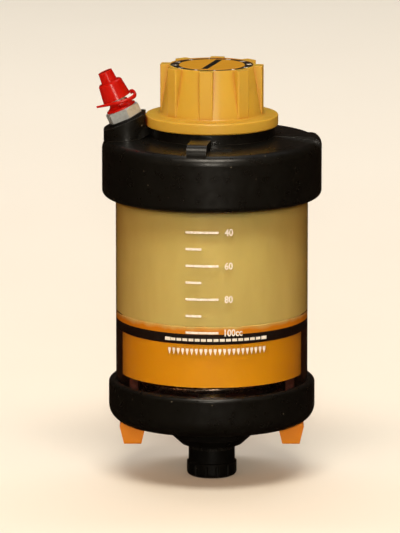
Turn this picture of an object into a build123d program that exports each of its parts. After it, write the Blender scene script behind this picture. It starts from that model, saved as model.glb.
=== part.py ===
"""Spring-driven automatic lubricator for one lubrication point.

Grease is held in a clear reservoir above a spring-loaded piston. The spring pushes the piston up,
the grease passes the metering needle under the dial and runs down the centre tube to the outlet.
The origin is the centre of the outlet's mouth, +Z is up, the front faces -Y and the grease nipple
stands on the -X side. All lengths are in millimetres.
"""
import os
from math import cos, radians, sin, sqrt

from build123d import *

# Clearances
SEAT_GAP = 0.02          # between pieces that are fixed together
RUN_GAP = 0.05           # radial, between pieces that slide or turn on each other
FREE_GAP = 0.3           # between pieces that pass without touching

# Outlet adapter: a ribbed collar with a female G1/8 thread in its mouth
COLLAR_R = 7.2
COLLAR_H = 4.1
COLLAR_EDGE = 1.3
BAND_R = 6.7
BAND_H = 4.1
GRIP_RIBS = 14
GRIP_GROOVE_R = 0.62
THREAD_MINOR_R = 4.4
THREAD_DEPTH = 6.0
SPIGOT_R = 5.6
SPIGOT_H = 7.0
ADAPTER_TOP = COLLAR_H + BAND_H

# Centre tube, which ties the head and the base together and carries the grease down
TIE_R = 4.0
TIE_BORE_R = 2.0
TIE_ENTRY = ADAPTER_TOP - 1.0

# Outlet check valve in the foot of the centre tube
CHECK_BORE_R = 2.6
CHECK_BALL_R = 2.3
CHECK_DEPTH = 9.8
CHECK_WIRE_R = 0.2
CHECK_COIL_R = 1.8
CHECK_TURNS = 5

# Lower cap
HUB_H = 8.9
NECK_H = 1.3
HUB_TIP_R = 8.9
HUB_R = 11.5
HUB_BEVEL_H = 2.4
CAP_WALL_T = 1.95
CAP_FOOT_INSET = 2.4
CAP_FLOOR_T = 1.9
CAP_WALL_H = 9.8
CAP_CURVE_H = 4.4
CAP_LIP = 1.2
CAP_BOTTOM = ADAPTER_TOP + HUB_H
CAP_FLOOR = CAP_BOTTOM + CAP_FLOOR_T
CAP_RIM = CAP_FLOOR + CAP_WALL_H

# Reservoir
BORE_R = 26.0
TUBE_WALL = 1.6
TUBE_R = BORE_R + TUBE_WALL
TUBE_LENGTH = 76.0
TUBE_TOP = CAP_FLOOR + TUBE_LENGTH
SOCKET_R = TUBE_R + 0.15
CAP_R = SOCKET_R + CAP_WALL_T
CAP_FOOT_R = CAP_R - CAP_FOOT_INSET

# Main spring and its orange seat with two lugs
SPRING_R = 19.6
SPRING_WIRE_R = 1.2
SPRING_TURNS = 5
SEAT_T = 2.0
SEAT_INNER_R = 11.8
LUG_W = 8.0
LUG_TOP_R = sqrt((BORE_R - 0.2) ** 2 - (LUG_W / 2) ** 2)
LUG_TOP_INNER_R = 18.6
LUG_DROP = 7.5
LUG_TIP_R = 25.3
LUG_TIP_INNER_R = 20.4
LUG_BULGE = 1.1
LUG_BULGE_DROP = 2.2
FINGER_H = 15.0
FINGER_T = 2.4
SPRING_FOOT = CAP_FLOOR + SEAT_T

# Piston
PISTON_R = BORE_R - FREE_GAP
SKIRT_T = 1.4
CROWN_RISE = 30.0        # crown above the cap floor when the reservoir is full
PISTON_H = 17.8
RIM_T = 2.3
SEAL_H = 3.0
SEAL_DEPTH = 2.9
DISH_DEPTH = 2.8
WEB_T = 2.7
CUP_R = 10.4
CUP_WALL = 2.0
CUP_DEPTH = 7.8
PISTON_HUB_R = 7.2
PISTON_HUB_H = 7.2
HUB_RING_WIRE_R = 0.86
CROWN = CAP_FLOOR + CROWN_RISE
SKIRT_FOOT = CROWN - PISTON_H
WEB_TOP = CROWN - DISH_DEPTH
SPRING_HEAD = WEB_TOP - WEB_T
CUP_FLOOR = CROWN - CUP_DEPTH
SEAL_TOP = CROWN - RIM_T
SEAL_FOOT = SEAL_TOP - SEAL_H
SEAL_FLOOR_R = PISTON_R - SEAL_DEPTH
PISTON_HUB_FOOT = CUP_FLOOR - CUP_WALL - PISTON_HUB_H

# Top housing
HOUSING_WALL = 3.75
HOUSING_R = SOCKET_R + HOUSING_WALL
HOUSING_OVERLAP = 12.7
HOUSING_EDGE = 1.8
CEILING_RISE = 2.4
SHOULDER_T = 1.4
SHOULDER_EDGE = 2.8
SHOULDER_RISE = 0.9
DRUM_R = 18.0
DRUM_H = 2.8
DRUM_WALL = 1.8
DRUM_POCKET_R = DRUM_R - DRUM_WALL
DRUM_FLOOR_T = 0.3
TOWER_R = 8.0
TOWER_H = 9.6
GUIDE_HUB_R = 9.5
GUIDE_HUB_H = 7.4
CHAMBER_R = 3.4
PORT_R = 1.0
PORTS = 3
TUBE_RING_WIRE_R = 0.8
TUBE_RING_DROP = 4.6
HOUSING_BOTTOM = TUBE_TOP - HOUSING_OVERLAP
CEILING = TUBE_TOP + CEILING_RISE
SHOULDER = CEILING + SHOULDER_T
DRUM_FOOT = SHOULDER + SHOULDER_RISE
DRUM_TOP = DRUM_FOOT + DRUM_H
TOWER_TOP = DRUM_TOP + TOWER_H
TIE_TOP = CEILING - 2.8
GUIDE_HUB_FOOT = CEILING - GUIDE_HUB_H
CHAMBER_TOP = CEILING + 0.8
PORT_Z = CEILING - 1.4

# Index tab, scale ledge and the plain land on the housing's shoulder
TAB_TURN = -8.5
TAB_W = 5.6
TAB_GAP = 2.0            # from the drum to the tab and the ledge
TAB_INSET = 1.0
TAB_IN = DRUM_R + TAB_GAP
TAB_OUT = HOUSING_R - TAB_INSET
TAB_H = 2.0
TAB_EDGE = SHOULDER_EDGE
LEDGE_TURN = 6.0
LEDGE_W = 6.0
LEDGE_L = 4.2
LEDGE_OUT = TAB_IN + LEDGE_L
LEDGE_H = 0.5
LAND_ARC = 16.0
LAND_H = 0.95
LAND_ROOT = 1.5

# Stem, its sealing ring and its gland
STEM_R = 2.5
NEEDLE_R = 2.3
NEEDLE_TIP_R = 1.1
NEEDLE_CONE_H = 1.2
STEM_HEX_AF = 5.0
STEM_HEAD_GAP = 1.25
STEM_SHAFT_H = 9.4
STEM_RING_WIRE_R = 0.95
GLAND_R = 4.6
GLAND_H = 4.2
GLAND_HEX_AF = 9.5
GLAND_HEX_H = 2.2
GLAND_POCKET_R = 6.3
GUIDE_T = 1.2
STEM_PITCH = 1.0
DIAL_RANGE_DEG = 270.0
STEM_LIFT = STEM_PITCH * DIAL_RANGE_DEG / 360.0
RING_POCKET_FLOOR = CHAMBER_TOP + GUIDE_T
GLAND_FOOT = RING_POCKET_FLOOR + 2 * STEM_RING_WIRE_R + SEAT_GAP
GLAND_TOP = GLAND_FOOT + GLAND_H

# Dial knob
KNOB_LIFT = 0.2
FLANGE_R = DRUM_R + 1.0
FLANGE_T = 3.2
FLANGE_EDGE = 0.45
KNOB_ROOT = 0.9
KNOB_H = 17.4
KNOB_BASE_R = 14.7
KNOB_TOP_R = 12.4
KNOB_WALL = 1.8
KNOB_LID_T = 1.8
KNOB_HUB_T = 1.65
GRIP_BARS = 8
GRIP_BAR_W = 4.0
GRIP_BAR_TURN = -7.0
GRIP_BAR_EDGE = 0.45
DIAL_RECESS = 0.8
DIAL_RING_R = 11.85
DISC_R = 9.45
SOCKET_BOSS_R = 4.6
SOCKET_BOSS_H = 9.0
CLIP_WIRE_R = 0.6
CLIP_Z_RISE = 5.9
POINTER_W = 1.9
POINTER_T = 0.3
POINTER_TURN = -14.5
KNOB_FOOT = DRUM_TOP + KNOB_LIFT
FLANGE_TOP = KNOB_FOOT + FLANGE_T
KNOB_TOP = KNOB_FOOT + KNOB_H
DIAL_SEAT = KNOB_TOP - DIAL_RECESS
LID_FOOT = DIAL_SEAT - KNOB_LID_T
CLIP_Z = DRUM_TOP + CLIP_Z_RISE

# Grease nipple on its tilted boss
NIPPLE_TILT = 23.7
NIPPLE_INSET = 7.0       # nipple axis at the boss face, from the housing wall
NIPPLE_X = -(HOUSING_R - NIPPLE_INSET)
NIPPLE_RISE = 4.5        # boss face above the drum's foot, on the nipple's axis
BOSS_R = 6.5
BOSS_EDGE = 0.7
BOSS_SETBACK = 0.5
FLANGE_CLEARANCE = 0.5
BOSS_WALL_R = HOUSING_R - BOSS_SETBACK
BOSS_CLEAR_R = FLANGE_R + FLANGE_CLEARANCE
BOSS_TRIM = 0.3          # boss's highest edge above the knob's flange
WASHER_T = 0.6
WASHER_R = 5.2
NIPPLE_SHANK_R = 3.95
NIPPLE_SHANK_L = 5.4
NIPPLE_HEX_AF = 9.0
NIPPLE_HEX_H = 2.9
HEX_CHAMFER_SLOPE = 0.6
NIPPLE_TURN = -14.0
NIPPLE_NECK_R = 2.3
NIPPLE_HEAD_R = 3.25
NIPPLE_HEAD_H = 3.2
NIPPLE_TOP = 10.6
NIPPLE_BORE_R = 1.5
NIPPLE_MOUTH_R = 0.95
NIPPLE_BALL_R = 1.2
NIPPLE_COIL_R = 1.1
NIPPLE_WIRE_R = 0.15
NIPPLE_TURNS = 4
FEED_R = 1.4

# Dust cap of the nipple, with the ring and cord that keep it
CAP_MOUTH = 6.7
CAP_SKIRT_H = 5.2
CAP_MOUTH_R = 4.15
CAP_SHOULDER_R = 3.4
CAP_KNOB_BASE_R = 2.35
CAP_KNOB_TOP_R = 2.05
CAP_KNOB_H = 3.2
RING_FOOT_R = 4.3
RING_HEAD_R = 2.6
RING_H = 2.3
CORD_R = 0.55
CORD_BEND = 0.9
CORD_ROOT = (4.3, 0.4, 0.3)      # offsets to the right, to the front and along from the cap's mouth
CORD_TURNS = ((5.35, 0.9, 0.0), (5.15, 2.7, -1.35), (3.0, 4.6, -1.5), (-0.9, 4.7, -0.6), (-4.0, 3.7, 0.0))
CORD_END = (-6.1, 2.4, 0.1)
CORD_NECK = (0.4, 4.65, -0.85)

# Print on the reservoir
PRINT_T = 0.1
TICK_W = 0.65
DASH_W = 0.75
DASH_SHARE = 0.78
CC_RISE = 9.65           # rise of the piston for 20 cc
FULL_MARK = CROWN - 1.6
TICK_FROM = -15.7
TICK_TO = 3.8
SHORT_TICK_TO = -6.3
LIMIT_DROP = 2.1
LIMIT_FROM = -28.7
LIMIT_TO = 34.2
LIMIT_DASHES = 17


def polar(radius, angle, z=0.0):
    """Point at an angle seen from above, counted from the front (-Y) towards +X."""
    return (radius * sin(radians(angle)), -radius * cos(radians(angle)), z)


# The nipple's own axis: its plane lies on the boss face, and its section plane contains the axis
TILT_SIN = sin(radians(NIPPLE_TILT))
TILT_COS = cos(radians(NIPPLE_TILT))
NIPPLE_ORIGIN = Vector(NIPPLE_X, 0, DRUM_FOOT + NIPPLE_RISE)
NIPPLE_DIR = Vector(-TILT_SIN, 0, TILT_COS)
NIPPLE_SIDE = Vector(TILT_COS, 0, TILT_SIN)
NIPPLE_FACE = Plane(origin=NIPPLE_ORIGIN, x_dir=NIPPLE_SIDE, z_dir=NIPPLE_DIR)
NIPPLE_SECTION = Plane(origin=NIPPLE_ORIGIN, x_dir=NIPPLE_SIDE, z_dir=(0, -1, 0))
NIPPLE_AXIS = Axis(NIPPLE_ORIGIN, NIPPLE_DIR)

# ---------------------------------------------------------------- outlet adapter
with BuildPart() as outlet_adapter:
    with BuildSketch(Plane.XZ):
        with BuildLine():
            Polyline(
                (THREAD_MINOR_R, 0), (COLLAR_R, 0), (COLLAR_R, COLLAR_H),
                (BAND_R, COLLAR_H + 0.35), (BAND_R, ADAPTER_TOP),
                (SPIGOT_R, ADAPTER_TOP), (SPIGOT_R, ADAPTER_TOP + SPIGOT_H),
                (TIE_R + SEAT_GAP, ADAPTER_TOP + SPIGOT_H), (TIE_R + SEAT_GAP, TIE_ENTRY),
                (CHECK_COIL_R - 2 * CHECK_WIRE_R, TIE_ENTRY), (CHECK_COIL_R - 2 * CHECK_WIRE_R, THREAD_DEPTH),
                (THREAD_MINOR_R, THREAD_DEPTH), close=True)
        make_face()
    revolve(axis=Axis.Z)
    mouth_edges = outlet_adapter.edges().filter_by(GeomType.CIRCLE).group_by(Axis.Z)[0]
    fillet(mouth_edges.sort_by(SortBy.RADIUS)[-1], COLLAR_EDGE)
    with BuildSketch(Plane.XY):
        with PolarLocations(COLLAR_R + 0.2, GRIP_RIBS, start_angle=-90 + 180 / GRIP_RIBS):
            Circle(GRIP_GROOVE_R)
    extrude(amount=COLLAR_H - 0.4, mode=Mode.SUBTRACT)
outlet_adapter.part.label = "outlet_adapter"

# ---------------------------------------------------------------- centre tube
with BuildPart() as tie_tube:
    with BuildSketch(Plane.XZ):
        with BuildLine():
            Polyline(
                (CHECK_BORE_R, TIE_ENTRY), (TIE_R, TIE_ENTRY), (TIE_R, TIE_TOP),
                (TIE_BORE_R + 1.0, TIE_TOP), (TIE_BORE_R, TIE_TOP - 1.0),
                (TIE_BORE_R, TIE_ENTRY + CHECK_DEPTH + 0.6),
                (CHECK_BORE_R, TIE_ENTRY + CHECK_DEPTH), close=True)
        make_face()
    revolve(axis=Axis.Z)
tie_tube.part.label = "tie_tube"

# ---------------------------------------------------------------- outlet check valve
CHECK_BALL_Z = TIE_ENTRY + CHECK_DEPTH - sqrt(CHECK_BALL_R ** 2 - TIE_BORE_R ** 2) + 0.3
with BuildPart(Plane.XY.offset(CHECK_BALL_Z)) as outlet_check_ball:
    Sphere(CHECK_BALL_R)
outlet_check_ball.part.label = "outlet_check_ball"

CHECK_COIL_FOOT = TIE_ENTRY + CHECK_WIRE_R + SEAT_GAP
CHECK_COIL_TOP = CHECK_BALL_Z - sqrt((CHECK_BALL_R + CHECK_WIRE_R) ** 2 - CHECK_COIL_R ** 2) - SEAT_GAP
with BuildPart() as outlet_check_spring:
    check_coil_h = CHECK_COIL_TOP - CHECK_COIL_FOOT
    with BuildLine():
        check_path = Helix(check_coil_h / CHECK_TURNS, check_coil_h, CHECK_COIL_R,
                           center=(0, 0, CHECK_COIL_FOOT))
    with BuildSketch(Plane(origin=check_path @ 0, z_dir=check_path % 0)):
        Circle(CHECK_WIRE_R)
    sweep(is_frenet=True)
outlet_check_spring.part.label = "outlet_check_spring"

# ---------------------------------------------------------------- lower cap
with BuildPart() as lower_cap:
    with BuildSketch(Plane.XZ):
        with BuildLine():
            wall_foot = (CAP_R, CAP_BOTTOM + CAP_CURVE_H)
            Polyline(
                (CAP_FOOT_R, CAP_BOTTOM), (HUB_R + 1.0, CAP_BOTTOM),
                (HUB_R, ADAPTER_TOP + NECK_H + HUB_BEVEL_H), (HUB_TIP_R, ADAPTER_TOP + NECK_H),
                (BAND_R, ADAPTER_TOP + NECK_H), (BAND_R, ADAPTER_TOP),
                (SPIGOT_R + SEAT_GAP, ADAPTER_TOP), (SPIGOT_R + SEAT_GAP, CAP_FLOOR),
                (SOCKET_R, CAP_FLOOR), (SOCKET_R, CAP_RIM), (CAP_R - CAP_LIP, CAP_RIM))
            RadiusArc((CAP_R - CAP_LIP, CAP_RIM), (CAP_R, CAP_RIM - CAP_LIP), CAP_LIP)
            Line((CAP_R, CAP_RIM - CAP_LIP), wall_foot)
            Spline(wall_foot, (CAP_FOOT_R, CAP_BOTTOM), tangents=((0, -1), (-1, -0.75)))
        make_face()
    revolve(axis=Axis.Z)
    with BuildSketch(Plane.XY.offset(CAP_BOTTOM)):
        slot_mid_r = (LUG_TOP_INNER_R + LUG_TOP_R) / 2
        with Locations((-slot_mid_r, 0), (slot_mid_r, 0)):
            Rectangle(LUG_TOP_R - LUG_TOP_INNER_R + 0.2, LUG_W + 0.2)
    extrude(amount=CAP_FLOOR_T, mode=Mode.SUBTRACT)
    with BuildSketch(Plane.XY.offset(ADAPTER_TOP)):
        with PolarLocations(BAND_R + 0.1, 2 * GRIP_RIBS, start_angle=-90):
            Circle(GRIP_GROOVE_R / 2)
    extrude(amount=NECK_H, mode=Mode.SUBTRACT)
lower_cap.part.label = "lower_cap"

# ---------------------------------------------------------------- spring seat with its two lugs
with BuildPart() as spring_seat:
    with BuildSketch(Plane.XY.offset(CAP_FLOOR)):
        Circle(SPRING_R + SPRING_WIRE_R + FREE_GAP + FINGER_T)
        Circle(SEAT_INNER_R, mode=Mode.SUBTRACT)
    extrude(amount=SEAT_T)
    with BuildSketch(Plane.XY.offset(SPRING_FOOT)):
        Circle(SPRING_R - SPRING_WIRE_R - FREE_GAP)
        Circle(SEAT_INNER_R, mode=Mode.SUBTRACT)
    extrude(amount=SPRING_WIRE_R)
    finger_in = SPRING_R + SPRING_WIRE_R + FREE_GAP
    lug_foot = CAP_BOTTOM - LUG_DROP
    lug_widest = CAP_BOTTOM - LUG_BULGE_DROP
    for side in (1, -1):
        with BuildSketch(Plane.XZ):
            with BuildLine():
                Polyline(
                    (side * LUG_TIP_INNER_R, lug_foot), (side * LUG_TIP_R, lug_foot),
                    (side * (LUG_TOP_R + LUG_BULGE), lug_widest), (side * LUG_TOP_R, CAP_BOTTOM),
                    (side * LUG_TOP_R, CAP_FLOOR + SEAT_T / 2),
                    (side * (finger_in + FINGER_T), CAP_FLOOR + SEAT_T),
                    (side * (finger_in + FINGER_T), CAP_FLOOR + FINGER_H),
                    (side * finger_in, CAP_FLOOR + FINGER_H),
                    (side * finger_in, CAP_FLOOR + SEAT_T / 2),
                    (side * LUG_TOP_INNER_R, CAP_FLOOR + SEAT_T / 2),
                    (side * LUG_TOP_INNER_R, CAP_BOTTOM), close=True)
            make_face()
        extrude(amount=LUG_W / 2, both=True)
    lug_corners = spring_seat.edges().filter_by(Axis.X).group_by(Axis.Z)[0]
    fillet(lug_corners, 1.0)
spring_seat.part.label = "spring_seat"

# ---------------------------------------------------------------- main spring
with BuildPart() as main_spring:
    coil_h = SPRING_HEAD - SPRING_FOOT - 2 * (SPRING_WIRE_R + SEAT_GAP)
    with BuildLine():
        coil_path = Helix(coil_h / SPRING_TURNS, coil_h, SPRING_R,
                          center=(0, 0, SPRING_FOOT + SPRING_WIRE_R + SEAT_GAP))
    with BuildSketch(Plane(origin=coil_path @ 0, z_dir=coil_path % 0)):
        Circle(SPRING_WIRE_R)
    sweep(is_frenet=True)
main_spring.part.label = "main_spring"

# ---------------------------------------------------------------- reservoir
with BuildPart() as reservoir:
    with BuildSketch(Plane.XY.offset(CAP_FLOOR)):
        Circle(TUBE_R)
        Circle(BORE_R, mode=Mode.SUBTRACT)
    extrude(amount=TUBE_LENGTH)
    chamfer(reservoir.edges().group_by(Axis.Z)[-1].sort_by(SortBy.RADIUS)[-1], 0.4)
reservoir.part.label = "reservoir"

# ---------------------------------------------------------------- print on the reservoir
with BuildPart() as scale_print:
    spans = []
    for step in range(7):
        tick_end = TICK_TO if step % 2 == 0 else SHORT_TICK_TO
        spans.append((TICK_FROM, tick_end, FULL_MARK + step * CC_RISE / 2, TICK_W))
    dash_pitch = (LIMIT_TO - LIMIT_FROM) / LIMIT_DASHES
    for dash in range(LIMIT_DASHES):
        bold = dash in (0, LIMIT_DASHES - 1)
        dash_from = LIMIT_FROM + dash * dash_pitch
        spans.append((dash_from, dash_from + dash_pitch * (0.93 if bold else DASH_SHARE),
                      FULL_MARK - LIMIT_DROP, 1.25 * DASH_W if bold else DASH_W))
    for start, end, height, width in spans:
        turned_plane = Plane(origin=(0, 0, height), x_dir=polar(1, start),
                             z_dir=polar(1, start - 90))
        with BuildSketch(turned_plane):
            with Locations((TUBE_R + SEAT_GAP + PRINT_T / 2, 0)):
                Rectangle(PRINT_T, width)
        revolve(axis=Axis.Z, revolution_arc=end - start)
scale_print.part.label = "scale_print"

# ---------------------------------------------------------------- piston
RING_Z = PISTON_HUB_FOOT + PISTON_HUB_H / 2
with BuildPart() as piston:
    with BuildSketch(Plane.XZ):
        skirt_in = PISTON_R - SKIRT_T
        spring_wall = SPRING_R + SPRING_WIRE_R + FREE_GAP
        ring_gap = HUB_RING_WIRE_R + 0.1
        ring_out = TIE_R + RUN_GAP + 2 * HUB_RING_WIRE_R + SEAT_GAP
        with BuildLine():
            Polyline(
                (TIE_R + RUN_GAP, PISTON_HUB_FOOT), (PISTON_HUB_R, PISTON_HUB_FOOT),
                (PISTON_HUB_R, CUP_FLOOR - CUP_WALL), (CUP_R + CUP_WALL, CUP_FLOOR - CUP_WALL),
                (CUP_R + CUP_WALL, SPRING_HEAD), (spring_wall, SPRING_HEAD),
                (spring_wall, SPRING_HEAD - 2.3), (skirt_in, SPRING_HEAD - 2.3),
                (skirt_in, SKIRT_FOOT), (PISTON_R, SKIRT_FOOT), (PISTON_R, SEAL_FOOT),
                (SEAL_FLOOR_R, SEAL_FOOT), (SEAL_FLOOR_R, SEAL_TOP), (PISTON_R, SEAL_TOP),
                (PISTON_R, CROWN), (PISTON_R - 2.5, CROWN), (SEAL_FLOOR_R - 1.8, WEB_TOP),
                (CUP_R, WEB_TOP), (CUP_R, CUP_FLOOR), (TIE_R + RUN_GAP, CUP_FLOOR),
                (TIE_R + RUN_GAP, RING_Z + ring_gap), (ring_out, RING_Z + ring_gap),
                (ring_out, RING_Z - ring_gap), (TIE_R + RUN_GAP, RING_Z - ring_gap), close=True)
        make_face()
    revolve(axis=Axis.Z)
piston.part.label = "piston"

with BuildPart() as piston_seal:
    with BuildSketch(Plane.XZ):
        seal_r = BORE_R - RUN_GAP
        seal_low = SEAL_FOOT + SEAT_GAP
        seal_high = SEAL_TOP - SEAT_GAP
        seal_mid = (seal_low + seal_high) / 2
        with BuildLine():
            Polyline(
                (SEAL_FLOOR_R + SEAT_GAP, seal_low), (seal_r - 0.3, seal_low), (seal_r, seal_low + 0.3),
                (seal_r, seal_mid - 0.4), (seal_r - 0.4, seal_mid), (seal_r, seal_mid + 0.4),
                (seal_r, seal_high - 0.3), (seal_r - 0.3, seal_high),
                (SEAL_FLOOR_R + SEAT_GAP, seal_high), close=True)
        make_face()
    revolve(axis=Axis.Z)
piston_seal.part.label = "piston_seal"

with BuildPart() as piston_hub_ring:
    with BuildSketch(Plane.XZ):
        with Locations((TIE_R + RUN_GAP + HUB_RING_WIRE_R, RING_Z)):
            Circle(HUB_RING_WIRE_R)
    revolve(axis=Axis.Z)
piston_hub_ring.part.label = "piston_hub_ring"

# ---------------------------------------------------------------- grease charge
with BuildPart() as grease_fill:
    with BuildSketch(Plane.XZ):
        film = 0.12
        with BuildLine():
            Polyline(
                (TIE_R + film, CUP_FLOOR + film), (CUP_R - film, CUP_FLOOR + film),
                (CUP_R - film, WEB_TOP + film), (SEAL_FLOOR_R - 1.8, WEB_TOP + film),
                (PISTON_R - 2.5, CROWN + film), (BORE_R - film, CROWN + film),
                (BORE_R - film, CEILING - film), (GUIDE_HUB_R + film, CEILING - film),
                (GUIDE_HUB_R + film, GUIDE_HUB_FOOT - film), (TIE_R + film, GUIDE_HUB_FOOT - film),
                close=True)
        make_face()
    revolve(axis=Axis.Z)
grease_fill.part.label = "grease_fill"

# ---------------------------------------------------------------- nipple boss, part of the top housing
with BuildPart() as nipple_boss:
    with BuildSketch(NIPPLE_FACE):
        Circle(BOSS_R)
    extrude(amount=-(NIPPLE_RISE + SHOULDER_RISE) / TILT_COS)
    with BuildSketch(Plane.XY.offset(SHOULDER - SHOULDER_T)):
        with Locations((NIPPLE_X, 0)):
            Circle(BOSS_R + BOSS_EDGE)
    extrude(amount=2 * (NIPPLE_RISE + BOSS_R))
    split(bisect_by=NIPPLE_FACE, keep=Keep.BOTTOM)
    with BuildSketch(Plane.XY.offset(CEILING)):
        Circle(BOSS_WALL_R)
        Circle(DRUM_R - 1.0, mode=Mode.SUBTRACT)
    extrude(amount=FLANGE_TOP + BOSS_TRIM - CEILING, mode=Mode.INTERSECT)
    with BuildSketch(Plane.XY.offset(DRUM_TOP)):
        Circle(BOSS_CLEAR_R)
    extrude(amount=4 * NIPPLE_RISE, mode=Mode.SUBTRACT)

# ---------------------------------------------------------------- index tab, part of the top housing
with BuildPart() as index_tab:
    with BuildSketch(Plane.XY.offset(SHOULDER - SHOULDER_T).rotated((0, 0, TAB_TURN))):
        with Locations((0, -(TAB_IN + TAB_OUT) / 2)):
            Rectangle(TAB_W, TAB_OUT - TAB_IN)
    extrude(amount=SHOULDER_T + SHOULDER_RISE + TAB_H)
    tab_front = index_tab.faces().sort_by(Axis.Y)[0]
    fillet(tab_front.edges().sort_by(Axis.Z)[-1], TAB_EDGE)

# ---------------------------------------------------------------- top housing
TUBE_RING_Z = TUBE_TOP - TUBE_RING_DROP
with BuildPart() as top_housing:
    with BuildSketch(Plane.XZ):
        ring_in = TUBE_R + SEAT_GAP
        groove_r = ring_in + 2 * TUBE_RING_WIRE_R + SEAT_GAP
        groove_h = TUBE_RING_WIRE_R + 0.1
        with BuildLine():
            Line((SOCKET_R, HOUSING_BOTTOM), (HOUSING_R - HOUSING_EDGE, HOUSING_BOTTOM))
            RadiusArc((HOUSING_R - HOUSING_EDGE, HOUSING_BOTTOM),
                      (HOUSING_R, HOUSING_BOTTOM + HOUSING_EDGE), -HOUSING_EDGE)
            Line((HOUSING_R, HOUSING_BOTTOM + HOUSING_EDGE), (HOUSING_R, SHOULDER - SHOULDER_EDGE))
            RadiusArc((HOUSING_R, SHOULDER - SHOULDER_EDGE),
                      (HOUSING_R - SHOULDER_EDGE, SHOULDER), -SHOULDER_EDGE)
            Polyline(
                (HOUSING_R - SHOULDER_EDGE, SHOULDER), (DRUM_R, DRUM_FOOT), (DRUM_R, DRUM_TOP),
                (DRUM_POCKET_R, DRUM_TOP), (DRUM_POCKET_R, DRUM_FOOT + DRUM_FLOOR_T),
                (TOWER_R + 2.2, DRUM_FOOT + DRUM_FLOOR_T), (TOWER_R, DRUM_FOOT + DRUM_FLOOR_T),
                (TOWER_R, CLIP_Z - CLIP_WIRE_R - 0.2),
                (TOWER_R - CLIP_WIRE_R - 0.2, CLIP_Z - CLIP_WIRE_R - 0.2),
                (TOWER_R - CLIP_WIRE_R - 0.2, CLIP_Z + CLIP_WIRE_R + 0.2),
                (TOWER_R, CLIP_Z + CLIP_WIRE_R + 0.2), (TOWER_R, TOWER_TOP),
                (GLAND_POCKET_R, TOWER_TOP), (GLAND_POCKET_R, GLAND_TOP),
                (GLAND_R + SEAT_GAP, GLAND_TOP), (GLAND_R + SEAT_GAP, RING_POCKET_FLOOR),
                (STEM_R + RUN_GAP, RING_POCKET_FLOOR), (STEM_R + RUN_GAP, CHAMBER_TOP),
                (CHAMBER_R, CHAMBER_TOP), (CHAMBER_R, TIE_TOP + SEAT_GAP),
                (TIE_R + SEAT_GAP, TIE_TOP + SEAT_GAP), (TIE_R + SEAT_GAP, GUIDE_HUB_FOOT),
                (GUIDE_HUB_R, GUIDE_HUB_FOOT), (GUIDE_HUB_R, CEILING), (BORE_R, CEILING),
                (BORE_R, TUBE_TOP + SEAT_GAP), (SOCKET_R, TUBE_TOP + SEAT_GAP),
                (SOCKET_R, TUBE_RING_Z + groove_h), (groove_r, TUBE_RING_Z + groove_h),
                (groove_r, TUBE_RING_Z - groove_h), (SOCKET_R, TUBE_RING_Z - groove_h),
                (SOCKET_R, HOUSING_BOTTOM))
        make_face()
    revolve(axis=Axis.Z)
    add(nipple_boss.part)
    # Index tab at the front, the low ledge beside it and the plain land on the right
    add(index_tab.part)
    with BuildSketch(Plane.XY.offset(SHOULDER - SHOULDER_T).rotated((0, 0, LEDGE_TURN))):
        with Locations((0, -(TAB_IN + LEDGE_OUT) / 2)):
            Rectangle(LEDGE_W, LEDGE_OUT - TAB_IN)
    extrude(amount=SHOULDER_T + SHOULDER_RISE / 2 + LEDGE_H)
    land_start = Plane(origin=(0, 0, 0), x_dir=polar(1, 90 - LAND_ARC / 2), z_dir=polar(1, -LAND_ARC / 2))
    with BuildSketch(land_start):
        with BuildLine():
            land_top = SHOULDER + LAND_H
            Polyline((DRUM_R - 1, CEILING + 1), (DRUM_R - 1, land_top), (HOUSING_R - SHOULDER_EDGE, land_top))
            RadiusArc((HOUSING_R - SHOULDER_EDGE, land_top), (HOUSING_R, land_top - SHOULDER_EDGE),
                      SHOULDER_EDGE)
            Polyline((HOUSING_R, land_top - SHOULDER_EDGE), (HOUSING_R, CEILING - SHOULDER_EDGE),
                     (HOUSING_R - LAND_ROOT, CEILING - SHOULDER_EDGE),
                     (HOUSING_R - LAND_ROOT, CEILING + 1), (DRUM_R - 1, CEILING + 1))
        make_face()
    revolve(axis=Axis.Z, revolution_arc=LAND_ARC)
    # Threaded hole of the nipple, its feed into the chamber, and the ports round the metering seat
    with BuildSketch(NIPPLE_FACE.offset(-NIPPLE_SHANK_L - 0.3)):
        Circle(NIPPLE_SHANK_R + SEAT_GAP)
    extrude(amount=NIPPLE_SHANK_L + NIPPLE_RISE, mode=Mode.SUBTRACT)
    with BuildSketch(NIPPLE_FACE.offset(-NIPPLE_SHANK_L - 0.3)):
        Circle(FEED_R)
    extrude(amount=-2 * NIPPLE_RISE, mode=Mode.SUBTRACT)
    for port in range(PORTS):
        port_dir = polar(1, 360 * port / PORTS)
        with BuildSketch(Plane(origin=(0, 0, PORT_Z), z_dir=port_dir)):
            Circle(PORT_R)
        extrude(amount=GUIDE_HUB_R + 1, mode=Mode.SUBTRACT)
top_housing.part.label = "top_housing"

with BuildPart() as reservoir_top_ring:
    with BuildSketch(Plane.XZ):
        with Locations((TUBE_R + SEAT_GAP + TUBE_RING_WIRE_R, TUBE_RING_Z)):
            Circle(TUBE_RING_WIRE_R)
    revolve(axis=Axis.Z)
reservoir_top_ring.part.label = "reservoir_top_ring"

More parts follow.
